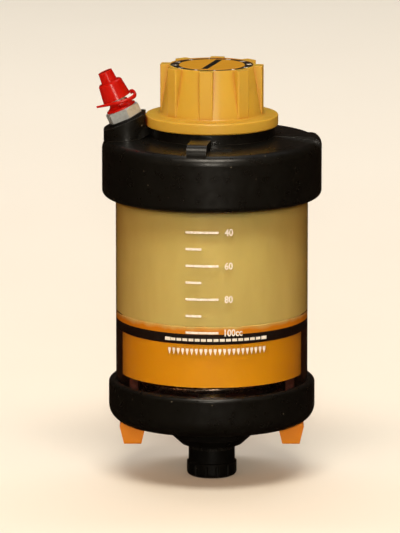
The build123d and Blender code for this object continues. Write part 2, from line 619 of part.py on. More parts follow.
# ---------------------------------------------------------------- metering stem, its ring and gland
STEM_FOOT = TIE_TOP - 0.9
STEM_HEAD = LID_FOOT - STEM_LIFT - STEM_HEAD_GAP
with BuildPart() as metering_stem:
    with BuildSketch(Plane.XZ):
        shaft_foot = CHAMBER_TOP + 0.2
        with BuildLine():
            Polyline(
                (0, STEM_FOOT), (NEEDLE_TIP_R, STEM_FOOT), (NEEDLE_R, STEM_FOOT + NEEDLE_CONE_H),
                (NEEDLE_R, shaft_foot), (STEM_R, shaft_foot + STEM_R - NEEDLE_R),
                (STEM_R, shaft_foot + STEM_SHAFT_H), (0, shaft_foot + STEM_SHAFT_H), close=True)
        make_face()
    revolve(axis=Axis.Z)
    with BuildSketch(Plane.XY.offset(shaft_foot + STEM_SHAFT_H)):
        RegularPolygon(STEM_HEX_AF / 2, 6, major_radius=False)
    extrude(amount=STEM_HEAD - shaft_foot - STEM_SHAFT_H)
    chamfer(metering_stem.edges().group_by(Axis.Z)[-1], 0.3)
metering_stem.part.label = "metering_stem"

with BuildPart() as stem_ring:
    with BuildSketch(Plane.XZ):
        with Locations((STEM_R + RUN_GAP + STEM_RING_WIRE_R, RING_POCKET_FLOOR + STEM_RING_WIRE_R)):
            Circle(STEM_RING_WIRE_R)
    revolve(axis=Axis.Z)
stem_ring.part.label = "stem_ring"

with BuildPart() as stem_gland:
    with BuildSketch(Plane.XY.offset(GLAND_FOOT)):
        Circle(GLAND_R)
    extrude(amount=GLAND_H)
    with BuildSketch(Plane.XY.offset(GLAND_TOP)):
        RegularPolygon(GLAND_HEX_AF / 2, 6, major_radius=False)
    extrude(amount=GLAND_HEX_H)
    chamfer(stem_gland.edges().group_by(Axis.Z)[0], 0.4)
    with BuildSketch(Plane.XY.offset(GLAND_FOOT)):
        Circle(STEM_R + RUN_GAP)
    extrude(amount=GLAND_H + GLAND_HEX_H, mode=Mode.SUBTRACT)
stem_gland.part.label = "stem_gland"

# ---------------------------------------------------------------- dial knob
with BuildPart() as control_knob:
    with BuildSketch(Plane.XZ):
        hub_r = TOWER_R + RUN_GAP
        hub_out = hub_r + KNOB_HUB_T
        clip_out = TOWER_R + CLIP_WIRE_R + 0.2
        with BuildLine():
            Polyline(
                (KNOB_BASE_R - KNOB_WALL, KNOB_FOOT), (FLANGE_R, KNOB_FOOT), (FLANGE_R, FLANGE_TOP),
                (KNOB_BASE_R, FLANGE_TOP), (KNOB_TOP_R, KNOB_TOP), (DIAL_RING_R + SEAT_GAP, KNOB_TOP),
                (DIAL_RING_R + SEAT_GAP, DIAL_SEAT), (0, DIAL_SEAT), (0, LID_FOOT), (hub_r, LID_FOOT),
                (hub_r, CLIP_Z + CLIP_WIRE_R + 0.1), (clip_out, CLIP_Z + CLIP_WIRE_R + 0.1),
                (clip_out, CLIP_Z - CLIP_WIRE_R - 0.1), (hub_r, CLIP_Z - CLIP_WIRE_R - 0.1),
                (hub_r, KNOB_FOOT + 0.6), (hub_out, KNOB_FOOT + 0.6), (hub_out, LID_FOOT - 1.0),
                (KNOB_TOP_R - KNOB_WALL, LID_FOOT - 1.0), close=True)
        make_face()
    revolve(axis=Axis.Z)
    flange_edges = control_knob.edges().filter_by(GeomType.CIRCLE).filter_by(
        lambda edge: abs(edge.radius - FLANGE_R) < 0.01)
    fillet(flange_edges, FLANGE_EDGE)
    knob_root = control_knob.edges().filter_by(GeomType.CIRCLE).filter_by(
        lambda edge: abs(edge.radius - KNOB_BASE_R) < 0.01 and edge.center().Z > FLANGE_TOP - 0.1)
    fillet(knob_root, KNOB_ROOT)
    for bar in range(GRIP_BARS):
        bar_angle = GRIP_BAR_TURN + bar * 360 / GRIP_BARS
        bar_root = DIAL_RING_R + SEAT_GAP + 0.2
        bar_plane = Plane(origin=polar(bar_root, bar_angle, FLANGE_TOP - 0.5),
                          x_dir=polar(1, bar_angle), z_dir=(0, 0, 1))
        with BuildSketch(bar_plane):
            bar_length = KNOB_BASE_R - bar_root
            with Locations((bar_length / 2, 0)):
                bar_shape = Rectangle(bar_length, GRIP_BAR_W)
            fillet(bar_shape.vertices().sort_by(Axis.X)[-2:], GRIP_BAR_EDGE)
        extrude(amount=KNOB_TOP - FLANGE_TOP + 0.5)
    with BuildSketch(Plane.XY.offset(LID_FOOT)):
        Circle(SOCKET_BOSS_R)
    extrude(amount=-SOCKET_BOSS_H)
    with BuildSketch(Plane.XY.offset(LID_FOOT - SOCKET_BOSS_H)):
        RegularPolygon(STEM_HEX_AF / 2 + RUN_GAP, 6, major_radius=False)
    extrude(amount=SOCKET_BOSS_H, mode=Mode.SUBTRACT)
control_knob.part.label = "control_knob"

with BuildPart() as knob_clip:
    with BuildSketch(Plane.XZ):
        with Locations((TOWER_R, CLIP_Z)):
            Circle(CLIP_WIRE_R)
    revolve(axis=Axis.Z, revolution_arc=320)
knob_clip.part.label = "knob_clip"

with BuildPart() as dial_ring:
    with BuildSketch(Plane.XY.offset(DIAL_SEAT)):
        Circle(DIAL_RING_R)
        Circle(DISC_R + SEAT_GAP, mode=Mode.SUBTRACT)
    extrude(amount=DIAL_RECESS - 0.15)
dial_ring.part.label = "dial_ring"

with BuildPart() as knob_disc:
    with BuildSketch(Plane.XY.offset(DIAL_SEAT)):
        Circle(DISC_R)
    extrude(amount=DIAL_RECESS)
    chamfer(knob_disc.edges().group_by(Axis.Z)[-1], 0.2)
    with BuildSketch(Plane.XY.offset(KNOB_TOP).rotated((0, 0, POINTER_TURN))):
        Rectangle(POINTER_W, 2 * DISC_R - 1.6)
    extrude(amount=-POINTER_T, mode=Mode.SUBTRACT)
knob_disc.part.label = "knob_disc"

with BuildPart() as pointer_bar:
    with BuildSketch(Plane.XY.offset(KNOB_TOP).rotated((0, 0, POINTER_TURN))):
        Rectangle(POINTER_W - 2 * SEAT_GAP, 2 * DISC_R - 1.6 - 2 * SEAT_GAP)
    extrude(amount=-POINTER_T)
pointer_bar.part.label = "pointer_bar"

# ---------------------------------------------------------------- grease nipple
with BuildPart() as nipple_washer:
    with BuildSketch(NIPPLE_FACE):
        Circle(WASHER_R)
        Circle(NIPPLE_SHANK_R + 0.1, mode=Mode.SUBTRACT)
    extrude(amount=WASHER_T)
nipple_washer.part.label = "nipple_washer"

HEX_TOP = WASHER_T + NIPPLE_HEX_H
NIPPLE_SEAT_DROP = sqrt(NIPPLE_BALL_R ** 2 - NIPPLE_MOUTH_R ** 2)
with BuildPart() as nipple_body:
    with BuildSketch(NIPPLE_SECTION):
        with BuildLine():
            Polyline(
                (NIPPLE_BORE_R, -NIPPLE_SHANK_L), (NIPPLE_SHANK_R, -NIPPLE_SHANK_L),
                (NIPPLE_SHANK_R, WASHER_T), (NIPPLE_HEX_AF / 2 - 0.2, WASHER_T),
                (NIPPLE_HEX_AF / 2 - 0.2, HEX_TOP), (NIPPLE_NECK_R, HEX_TOP),
                (NIPPLE_NECK_R, HEX_TOP + RING_H + 0.6), (NIPPLE_HEAD_R, NIPPLE_TOP - NIPPLE_HEAD_H),
                (NIPPLE_HEAD_R, NIPPLE_TOP - 1.5), (NIPPLE_NECK_R, NIPPLE_TOP),
                (NIPPLE_MOUTH_R, NIPPLE_TOP), (NIPPLE_MOUTH_R, NIPPLE_TOP - 0.3),
                (NIPPLE_BORE_R, NIPPLE_TOP - 0.9), close=True)
        make_face()
    revolve(axis=NIPPLE_AXIS)
    with BuildSketch(NIPPLE_FACE.offset(WASHER_T)):
        RegularPolygon(NIPPLE_HEX_AF / 2, 6, major_radius=False, rotation=NIPPLE_TURN)
        Circle(NIPPLE_SHANK_R - 0.5, mode=Mode.SUBTRACT)
    extrude(amount=NIPPLE_HEX_H)
    with BuildSketch(NIPPLE_SECTION):
        with BuildLine():
            Polyline((NIPPLE_HEX_AF / 2, HEX_TOP), (NIPPLE_HEX_AF, HEX_TOP),
                     (NIPPLE_HEX_AF, HEX_TOP - NIPPLE_HEX_AF / 2 * HEX_CHAMFER_SLOPE), close=True)
        make_face()
    revolve(axis=NIPPLE_AXIS, mode=Mode.SUBTRACT)
nipple_body.part.label = "nipple_body"

BALL_S = NIPPLE_TOP - 0.9 - NIPPLE_BALL_R
with BuildPart(NIPPLE_FACE.offset(BALL_S)) as nipple_ball:
    Sphere(NIPPLE_BALL_R)
nipple_ball.part.label = "nipple_ball"

COIL_FOOT = -NIPPLE_SHANK_L + 0.9
with BuildPart() as nipple_spring:
    nipple_coil_top = BALL_S - sqrt((NIPPLE_BALL_R + NIPPLE_WIRE_R) ** 2 - NIPPLE_COIL_R ** 2) - SEAT_GAP
    nipple_coil_h = nipple_coil_top - COIL_FOOT - NIPPLE_WIRE_R
    with BuildLine():
        nipple_path = Helix(nipple_coil_h / NIPPLE_TURNS, nipple_coil_h, NIPPLE_COIL_R,
                            center=NIPPLE_ORIGIN + NIPPLE_DIR * (COIL_FOOT + NIPPLE_WIRE_R),
                            direction=NIPPLE_DIR)
    with BuildSketch(Plane(origin=nipple_path @ 0, z_dir=nipple_path % 0)):
        Circle(NIPPLE_WIRE_R)
    sweep(is_frenet=True)
nipple_spring.part.label = "nipple_spring"

# ---------------------------------------------------------------- dust cap, its ring and cord
SHOULDER_S = CAP_MOUTH + CAP_SKIRT_H
with BuildPart() as nipple_cap:
    with BuildSketch(NIPPLE_SECTION):
        with BuildLine():
            Polyline(
                (NIPPLE_HEAD_R + RUN_GAP, CAP_MOUTH), (CAP_MOUTH_R, CAP_MOUTH),
                (CAP_SHOULDER_R + 0.1, SHOULDER_S - 0.4), (CAP_SHOULDER_R - 0.3, SHOULDER_S),
                (CAP_KNOB_BASE_R, SHOULDER_S), (CAP_KNOB_TOP_R, SHOULDER_S + CAP_KNOB_H),
                (0, SHOULDER_S + CAP_KNOB_H), (0, NIPPLE_TOP + 0.3),
                (NIPPLE_NECK_R + RUN_GAP, NIPPLE_TOP + 0.3), (NIPPLE_HEAD_R + RUN_GAP, NIPPLE_TOP - 1.2),
                close=True)
        make_face()
    revolve(axis=NIPPLE_AXIS)
nipple_cap.part.label = "nipple_cap"

RING_FOOT = HEX_TOP + SEAT_GAP


def on_nipple(side, front, along):
    """Point by its offsets from the nipple's axis: to the right, to the front, and along it."""
    return NIPPLE_ORIGIN + NIPPLE_SIDE * side + Vector(0, -front, 0) + NIPPLE_DIR * along


cord_route = [on_nipple(side, front, CAP_MOUTH + along)
              for side, front, along in (CORD_ROOT, *CORD_TURNS, CORD_END)]
cord_neck_foot = on_nipple(0, RING_HEAD_R - 0.2, RING_FOOT + 0.8)
cord_neck_head = on_nipple(CORD_NECK[0], CORD_NECK[1], CAP_MOUTH + CORD_NECK[2])
with BuildPart() as cap_cord:
    with BuildSketch(NIPPLE_SECTION):
        with BuildLine():
            Polyline(
                (NIPPLE_NECK_R + SEAT_GAP, RING_FOOT), (RING_FOOT_R, RING_FOOT),
                (RING_FOOT_R, RING_FOOT + 0.4), (RING_HEAD_R, RING_FOOT + RING_H),
                (NIPPLE_NECK_R + SEAT_GAP, RING_FOOT + RING_H), close=True)
        make_face()
    revolve(axis=NIPPLE_AXIS)
    with BuildLine():
        cord_path = FilletPolyline(*cord_route, radius=CORD_BEND)
    with BuildSketch(Plane(origin=cord_path @ 0, z_dir=cord_path % 0)):
        Circle(CORD_R)
    sweep()
    with BuildLine():
        Line(cord_neck_foot, cord_neck_head)
    with BuildSketch(Plane(origin=cord_neck_foot, z_dir=cord_neck_head - cord_neck_foot)):
        Circle(CORD_R)
    sweep()
cap_cord.part.label = "cap_cord"

# ---------------------------------------------------------------- export
PIECES = (
    outlet_adapter, tie_tube, outlet_check_ball, outlet_check_spring, lower_cap, spring_seat,
    main_spring, reservoir, scale_print, piston, piston_seal, piston_hub_ring, grease_fill,
    top_housing, reservoir_top_ring, metering_stem, stem_ring, stem_gland, control_knob, knob_clip,
    dial_ring, knob_disc, pointer_bar, nipple_washer, nipple_body, nipple_ball, nipple_spring,
    nipple_cap, cap_cord)
os.makedirs("parts", exist_ok=True)
for piece in PIECES:
    export_step(piece.part, f"parts/{piece.part.label}.step")
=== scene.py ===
"""Looks of the spring-driven automatic lubricator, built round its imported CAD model.

The CAD nodes keep their shapes and get procedural finishes. The soft and wetted pieces (grease,
seal, springs, cap keeper) and the figures and wedges of the print are built here, in the frame of
the CAD model, in metres.
+Z is up, the front with the scale faces -Y, and the grease nipple stands on the -X side.
"""
from __future__ import annotations

import logging
import math
from collections.abc import Callable, Sequence
from dataclasses import dataclass, field
from enum import Enum

import bmesh
import bpy
from mathutils import Matrix, Vector

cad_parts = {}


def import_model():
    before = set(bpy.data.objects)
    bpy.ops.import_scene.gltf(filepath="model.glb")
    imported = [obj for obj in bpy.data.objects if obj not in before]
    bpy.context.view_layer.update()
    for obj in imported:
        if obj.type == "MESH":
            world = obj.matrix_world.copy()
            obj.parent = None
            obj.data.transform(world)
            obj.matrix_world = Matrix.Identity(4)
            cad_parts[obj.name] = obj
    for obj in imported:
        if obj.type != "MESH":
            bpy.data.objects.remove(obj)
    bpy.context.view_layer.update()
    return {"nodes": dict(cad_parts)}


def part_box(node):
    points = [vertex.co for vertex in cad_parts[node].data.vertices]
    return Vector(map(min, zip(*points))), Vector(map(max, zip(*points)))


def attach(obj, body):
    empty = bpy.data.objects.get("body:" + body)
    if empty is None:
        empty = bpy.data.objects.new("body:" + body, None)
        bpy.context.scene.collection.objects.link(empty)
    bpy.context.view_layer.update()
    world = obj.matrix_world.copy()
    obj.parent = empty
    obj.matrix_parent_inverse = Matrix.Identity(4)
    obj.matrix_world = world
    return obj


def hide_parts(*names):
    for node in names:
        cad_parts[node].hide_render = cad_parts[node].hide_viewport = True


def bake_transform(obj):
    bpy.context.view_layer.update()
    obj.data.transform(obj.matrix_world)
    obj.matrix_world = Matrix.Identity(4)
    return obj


LOG = logging.getLogger("lubricator")
MM = 0.001
NIPPLE_ORIGIN = (-24.5, 0.0, 104.2)  # foot of the nipple's axis, in mm
NIPPLE_TILT_DEG = 23.7               # lean of that axis towards -X
FONT_PER_FIGURE = 1.38               # font size for figures of height 1
LONG_EDGE_MM = 0.5                   # longer edges of the figures are cut once, so that they can bend
LEVEL_TOPS = ("knob_disc", "dial_ring", "pointer_bar")  # spared by the low front lamps: no glare from behind


class Body(str, Enum):
    """Bodies of the CAD model that the pieces ride on."""

    ROOT = "root"
    DIAL = "dial"
    PISTON = "piston"
    DUST_CAP = "dust_cap"
    INLET_BALL = "inlet_ball"
    OUTLET_BALL = "outlet_ball"


class Slot(str, Enum):
    """Material slots of the record."""

    GREASE = "grease"
    SEAL = "seal_rubber"
    SPRING = "spring_steel"
    PISTON = "orange_piston"
    PRINT = "print_white"
    RED = "cap_red"


# ------------------------------------------------------------------ colours and shader graphs
def srgb(code: str) -> tuple[float, float, float, float]:
    """Turn a display colour into the linear colour that shaders take.

    Args:
        code: sRGB colour as a hex string, such as "#E3B54A".

    Returns:
        Linear red, green, blue and an alpha of 1.
    """
    digits = code.lstrip("#")
    channels = [int(digits[i:i + 2], 16) / 255 for i in (0, 2, 4)]
    linear = [c / 12.92 if c <= 0.04045 else ((c + 0.055) / 1.055) ** 2.4 for c in channels]
    return (linear[0], linear[1], linear[2], 1.0)


def scaled(colour: Sequence[float], factor: float, lift: float = 0.0) -> tuple[float, ...]:
    """Colour times factor plus lift in each channel, at most 1, with an alpha of 1."""
    return tuple(min(1.0, c * factor + lift) for c in colour[:3]) + (1.0,)


class Graph:
    """Shader tree of one material, with one principled shader."""

    def __init__(self, name: str) -> None:
        self.material = bpy.data.materials.new(name)
        self.material.use_nodes = True
        self.tree = self.material.node_tree
        self.tree.nodes.clear()
        self.shader = self.add("ShaderNodeBsdfPrincipled")
        self.output = self.add("ShaderNodeOutputMaterial")
        self.tree.links.new(self.shader.outputs["BSDF"], self.output.inputs["Surface"])
        coordinates = self.add("ShaderNodeTexCoord")
        self.place = coordinates.outputs["Object"]

    def add(self, kind: str, inputs: dict[str | int, object] | None = None,
            **settings: object) -> bpy.types.Node:
        """Add one node.

        Args:
            kind: Blender's name of the node type.
            inputs: Values or output sockets for the node's inputs, by name or number.
            **settings: Properties of the node.

        Returns:
            The new node.
        """
        node = self.tree.nodes.new(kind)
        for key, value in settings.items():
            setattr(node, key, value)
        for key, value in (inputs or {}).items():
            if isinstance(value, bpy.types.NodeSocket):
                self.tree.links.new(value, node.inputs[key])
            else:
                node.inputs[key].default_value = value
        return node

    def set(self, **values: object) -> None:
        """Set the principled shader's inputs. Underscores stand for spaces."""
        for key, value in values.items():
            socket = self.shader.inputs[key.replace("_", " ")]
            if isinstance(value, bpy.types.NodeSocket):
                self.tree.links.new(value, socket)
            else:
                socket.default_value = value

    def stretched(self, x: float = 1.0, y: float = 1.0, z: float = 1.0) -> bpy.types.NodeSocket:
        """Object coordinates with each axis scaled."""
        return self.add("ShaderNodeMapping", {"Vector": self.place, "Scale": (x, y, z)}).outputs["Vector"]

    def noise(self, size_mm: float, detail: float = 3.0, roughness: float = 0.5,
              vector: bpy.types.NodeSocket | None = None) -> bpy.types.NodeSocket:
        """Noise from 0 to 1 whose features are about size_mm across."""
        node = self.add("ShaderNodeTexNoise", {
            "Vector": vector or self.place, "Scale": 1 / (size_mm * MM), "Detail": detail,
            "Roughness": roughness})
        return node.outputs["Fac"]

    def spots(self, size_mm: float, share: float) -> bpy.types.NodeSocket:
        """Sparse round spots: 1 inside a spot and 0 elsewhere.

        Args:
            size_mm: Distance between the cells that may hold a spot.
            share: Radius of a spot as a share of that distance.
        """
        cells = self.add("ShaderNodeTexVoronoi", {
            "Vector": self.place, "Scale": 1 / (size_mm * MM), "Randomness": 1.0})
        return self.ramp(cells.outputs["Distance"], [(share * 0.6, (1, 1, 1, 1)), (share, (0, 0, 0, 1))])

    def ramp(self, value: bpy.types.NodeSocket,
             stops: Sequence[tuple[float, tuple[float, float, float, float]]]) -> bpy.types.NodeSocket:
        """Colour ramp over value."""
        node = self.add("ShaderNodeValToRGB", {"Fac": value})
        elements = node.color_ramp.elements
        while len(elements) < len(stops):
            elements.new(0.5)
        for element, (position, colour) in zip(elements, stops):
            element.position = position
            element.color = colour
        return node.outputs["Color"]

    def span(self, value: bpy.types.NodeSocket, low: float, high: float,
             source: tuple[float, float] = (0.25, 0.75)) -> bpy.types.NodeSocket:
        """Map value from the source range to low..high."""
        return self.add("ShaderNodeMapRange", {
            "Value": value, "From Min": source[0], "From Max": source[1],
            "To Min": low, "To Max": high}).outputs["Result"]

    def calc(self, operation: str, first: object, second: object) -> bpy.types.NodeSocket:
        """Sum or product of two values, by Blender's name of the operation."""
        return self.add("ShaderNodeMath", {0: first, 1: second}, operation=operation).outputs[0]

    def above(self, low_mm: float, high_mm: float, sway_mm: float, size_mm: float) -> bpy.types.NodeSocket:
        """0 below low_mm and 1 above high_mm, with a border that sways by sway_mm."""
        height = self.add("ShaderNodeSeparateXYZ", {"Vector": self.place}).outputs["Z"]
        sway = self.span(self.noise(size_mm, 4.0), -sway_mm * MM, sway_mm * MM)
        return self.span(self.calc("ADD", height, sway), 0.0, 1.0, (low_mm * MM, high_mm * MM))

    def mix(self, share: bpy.types.NodeSocket, first: object, second: object) -> bpy.types.NodeSocket:
        """Mix two colours by a share."""
        node = self.add("ShaderNodeMix", data_type="RGBA")
        for index, value in ((0, share), (6, first), (7, second)):
            if isinstance(value, bpy.types.NodeSocket):
                self.tree.links.new(value, node.inputs[index])
            else:
                node.inputs[index].default_value = value
        return node.outputs[2]

    def bump(self, height: bpy.types.NodeSocket, depth_mm: float, strength: float = 1.0,
             over: bpy.types.NodeSocket | None = None) -> bpy.types.NodeSocket:
        """Bump of depth_mm, laid over another bump if one is given."""
        inputs: dict[str | int, object] = {"Height": height, "Strength": strength, "Distance": depth_mm * MM}
        if over is not None:
            inputs["Normal"] = over
        return self.add("ShaderNodeBump", inputs).outputs["Normal"]

    def edges(self, radius_mm: float) -> bpy.types.NodeSocket:
        """About 0 on open faces, rising to 1 on the edges and corners of the piece."""
        rounded = self.add("ShaderNodeBevel", {"Radius": radius_mm * MM}, samples=6).outputs["Normal"]
        straight = self.add("ShaderNodeNewGeometry").outputs["Normal"]
        dot = self.add("ShaderNodeVectorMath", {0: rounded, 1: straight}, operation="DOT_PRODUCT")
        return self.span(dot.outputs["Value"], 1.0, 0.0, (0.90, 0.995))

    def recess_shade_mask(self, reach_mm: float) -> bpy.types.NodeSocket:
        """About 0 on open faces, rising in recesses narrower than reach_mm: the mask of painted shade in
        recesses.
        """
        shade = self.add("ShaderNodeAmbientOcclusion", {"Distance": reach_mm * MM}, samples=8)
        open_share = shade.outputs["AO"]
        return self.span(open_share, 0.85, 0.0, (0.25, 0.85))


# ------------------------------------------------------------------ finishes
@dataclass(frozen=True)
class MouldedPlastic:
    """Injection-moulded plastic: fine grain, faint flow waviness, edges a little rubbed, and painted shade in
    recesses when a shade colour is given.
    """

    name: str
    colour: str
    rubbed: str
    roughness: float
    grain_mm: float = 0.28
    grain_depth_mm: float = 0.012
    wave_depth_mm: float = 0.05
    tone: float = 0.12
    subsurface: float = 0.0
    specular: float = 0.5
    recess_shade_colour: str = ""
    recess_shade_mm: float = 2.2
    patch_mm: float = 9.0
    rub_mm: float = 0.35
    satin_mm: float = 3.0
    wave_mm: float = 14.0
    depth_mm: float = 1.2
    depth_share: tuple[float, float, float] = (1.0, 0.45, 0.15)

    def build(self) -> bpy.types.Material:
        """Make the material."""
        g = Graph(self.name)
        base = srgb(self.colour)
        toned = g.mix(g.noise(self.patch_mm, 4.0), scaled(base, 1 - self.tone), base)
        wear = g.calc("MULTIPLY", g.edges(self.rub_mm), g.span(g.noise(1.4, 5.0), 0.0, 0.55))
        # painted shade: recesses narrower than the reach are tinted towards a deep orange-red
        if self.recess_shade_colour:
            toned = g.mix(g.recess_shade_mask(self.recess_shade_mm), toned, srgb(self.recess_shade_colour))
        g.set(Base_Color=g.mix(wear, toned, srgb(self.rubbed)),
              Roughness=g.span(g.noise(self.satin_mm, 5.0), self.roughness - 0.06, self.roughness + 0.07),
              Specular_IOR_Level=self.specular)
        if self.subsurface:
            g.set(Subsurface_Weight=self.subsurface, Subsurface_Radius=self.depth_share,
                  Subsurface_Scale=self.depth_mm * MM)
        waves = g.bump(g.noise(self.wave_mm, 1.0), self.wave_depth_mm)
        g.set(Normal=g.bump(g.noise(self.grain_mm, 2.0), self.grain_depth_mm, 0.6, waves))
        return g.material


@dataclass(frozen=True)
class SeatPlastic:
    """Acetal of the spring seat: orange, with painted shade that darkens its upper part, where it stands
    inside the reservoir.
    """

    name: str
    colour: str
    painted_shade: str
    plain_below_mm: float = 15.0
    shaded_above_mm: float = 21.0
    sway_mm: float = 1.5
    roughness: tuple[float, float] = (0.38, 0.52)
    depth_mm: float = 1.0
    depth_share: tuple[float, float, float] = (1.0, 0.4, 0.1)

    def build(self) -> bpy.types.Material:
        """Make the material."""
        g = Graph(self.name)
        # painted shade: the colour turns dark reddish brown from 15 mm to 21 mm up, with a wavering border
        darkening = g.above(self.plain_below_mm, self.shaded_above_mm, self.sway_mm, 5.0)
        base = srgb(self.colour)
        toned = g.mix(g.noise(9.0, 4.0), scaled(base, 0.9), base)
        g.set(Base_Color=g.mix(darkening, toned, srgb(self.painted_shade)),
              Roughness=g.span(g.noise(3.0, 5.0), *self.roughness), Subsurface_Weight=0.15,
              Subsurface_Radius=self.depth_share, Subsurface_Scale=self.depth_mm * MM,
              Specular_IOR_Level=0.3)
        g.set(Normal=g.bump(g.noise(0.28, 2.0), 0.012, 0.6, g.bump(g.noise(14.0, 1.0), 0.05)))
        return g.material


@dataclass(frozen=True)
class DustyBlack:
    """Glass-filled black nylon: satin, with a fine grain, faint warm mottling and specks of dust."""

    name: str
    colour: str
    rubbed: str
    roughness: float
    specular: float
    dust: str = "#8A8374"
    dust_apart_mm: float = 3.1
    dust_share: float = 0.075
    mottle: float = 1.5
    mottle_mm: float = 11.0
    rub_mm: float = 0.4
    wave_mm: float = 16.0
    grain_mm: float = 0.3
    fibre_mm: float = 0.4

    def build(self) -> bpy.types.Material:
        """Make the material."""
        g = Graph(self.name)
        base = srgb(self.colour)
        toned = g.mix(g.noise(self.mottle_mm, 5.0), base, scaled(base, self.mottle))
        wear = g.calc("MULTIPLY", g.edges(self.rub_mm), g.span(g.noise(1.2, 5.0), 0.0, 0.5))
        worn = g.mix(wear, toned, srgb(self.rubbed))
        patches = g.span(g.noise(6.0, 2.0), 0.0, 0.55, (0.5, 0.62))
        dust = g.calc("MULTIPLY", g.spots(self.dust_apart_mm, self.dust_share), patches)
        g.set(Base_Color=g.mix(dust, worn, srgb(self.dust)),
              Roughness=g.span(g.noise(2.4, 5.0), self.roughness - 0.07, self.roughness + 0.08),
              Specular_IOR_Level=self.specular)
        fibres = g.noise(self.fibre_mm, 4.0, 0.7, g.stretched(1.0, 1.0, 0.5))
        waves = g.bump(g.noise(self.wave_mm, 1.0), 0.04)
        grain = g.bump(g.noise(self.grain_mm, 2.0), 0.006, 0.5, waves)
        g.set(Normal=g.bump(fibres, 0.003, 0.3, grain))
        return g.material


@dataclass(frozen=True)
class ClearPlastic:
    """Polished polycarbonate: clear, faintly smoky amber through its depth, with hairline scratches."""

    name: str
    deep: str
    density: float
    bends: float = 1.49
    roughness: tuple[float, float] = (0.008, 0.04)
    scratch_mm: float = 1.1

    def build(self) -> bpy.types.Material:
        """Make the material."""
        g = Graph(self.name)
        g.set(Base_Color=(1.0, 1.0, 1.0, 1.0), IOR=self.bends, Transmission_Weight=1.0,
              Roughness=g.span(g.noise(7.0, 6.0), *self.roughness))
        smoke = g.add("ShaderNodeVolumeAbsorption", {"Color": srgb(self.deep), "Density": self.density})
        g.tree.links.new(smoke.outputs["Volume"], g.output.inputs["Volume"])
        hairlines = g.noise(self.scratch_mm, 6.0, 0.75, g.stretched(1.0, 1.0, 0.06))
        g.set(Normal=g.bump(hairlines, 0.0012, 0.25, g.bump(g.noise(24.0, 1.0), 0.02, 0.4)))
        return g.material


@dataclass(frozen=True)
class Grease:
    """Lithium grease pressed against the wall: soft, slightly see-through, with faint streaks."""

    name: str
    colour: str
    deep: str

    def build(self) -> bpy.types.Material:
        """Make the material."""
        g = Graph(self.name)
        streaks = g.noise(6.0, 4.0, 0.55, g.stretched(1.0, 1.0, 0.3))
        g.set(Base_Color=g.mix(g.span(streaks, 0.0, 1.0, (0.3, 0.7)), srgb(self.deep), srgb(self.colour)),
              Roughness=g.span(g.noise(2.0, 4.0), 0.38, 0.55),
              Subsurface_Weight=0.25, Subsurface_Radius=(1.0, 0.7, 0.35), Subsurface_Scale=2.0 * MM,
              Specular_IOR_Level=0.35)
        g.set(Normal=g.bump(g.noise(1.6, 5.0), 0.05, 0.5))
        return g.material


@dataclass(frozen=True)
class WettedCrown:
    """Rim of the piston's crown against the clear wall, with grease smeared over its upper edge."""

    name: str
    plastic: str
    grease: str
    plain_below_mm: float = 47.6
    smeared_mm: float = 49.0
    sway_mm: float = 0.5

    def build(self) -> bpy.types.Material:
        """Make the material."""
        g = Graph(self.name)
        smear = g.above(self.plain_below_mm, self.smeared_mm, self.sway_mm, 4.0)
        g.set(Base_Color=g.mix(smear, srgb(self.plastic), srgb(self.grease)),
              Roughness=g.span(g.noise(2.0, 4.0), 0.4, 0.55), Specular_IOR_Level=0.35)
        g.set(Normal=g.bump(g.noise(1.6, 5.0), 0.03, 0.5))
        return g.material


@dataclass(frozen=True)
class Rubber:
    """Nitrile rubber: dull black with a faint bloom."""

    name: str
    colour: str
    bloom: tuple[float, float] = (2.2, 0.002)  # factor and lift
    roughness: tuple[float, float] = (0.5, 0.68)

    def build(self) -> bpy.types.Material:
        """Make the material."""
        g = Graph(self.name)
        base = srgb(self.colour)
        g.set(Base_Color=g.mix(g.noise(3.5, 5.0), base, scaled(base, *self.bloom)),
              Roughness=g.span(g.noise(1.5, 4.0), *self.roughness), Specular_IOR_Level=0.22)
        g.set(Normal=g.bump(g.noise(0.3, 3.0), 0.01, 0.6))
        return g.material


@dataclass(frozen=True)
class Metal:
    """Bare or plated metal with fine turning or drawing lines and a mottled tone."""

    name: str
    colour: str
    darkening: str
    roughness: float
    line_mm: float = 0.12
    line_stretch: float = 0.08
    metallic: float = 1.0

    def build(self) -> bpy.types.Material:
        """Make the material."""
        g = Graph(self.name)
        lines = g.noise(self.line_mm, 3.0, 0.6, g.stretched(self.line_stretch, self.line_stretch, 1.0))
        spotty = g.span(g.noise(2.2, 6.0, 0.65), 0.0, 1.0, (0.45, 0.75))
        g.set(Base_Color=g.mix(spotty, srgb(self.colour), srgb(self.darkening)), Metallic=self.metallic,
              Roughness=g.span(lines, self.roughness - 0.06, self.roughness + 0.1))
        g.set(Normal=g.bump(lines, 0.006, 0.5))
        return g.material


@dataclass(frozen=True)
class Ink:
    """Pad print: opaque ink with slightly uneven cover."""

    name: str
    colour: str
    thin: str

    def build(self) -> bpy.types.Material:
        """Make the material."""
        g = Graph(self.name)
        cover = g.span(g.noise(0.7, 5.0, 0.7), 0.0, 1.0, (0.35, 0.62))
        g.set(Base_Color=g.mix(cover, srgb(self.thin), srgb(self.colour)),
              Roughness=g.span(g.noise(0.9, 3.0), 0.38, 0.6), Specular_IOR_Level=0.4)
        g.set(Normal=g.bump(g.noise(0.4, 3.0), 0.008, 0.4))
        return g.material


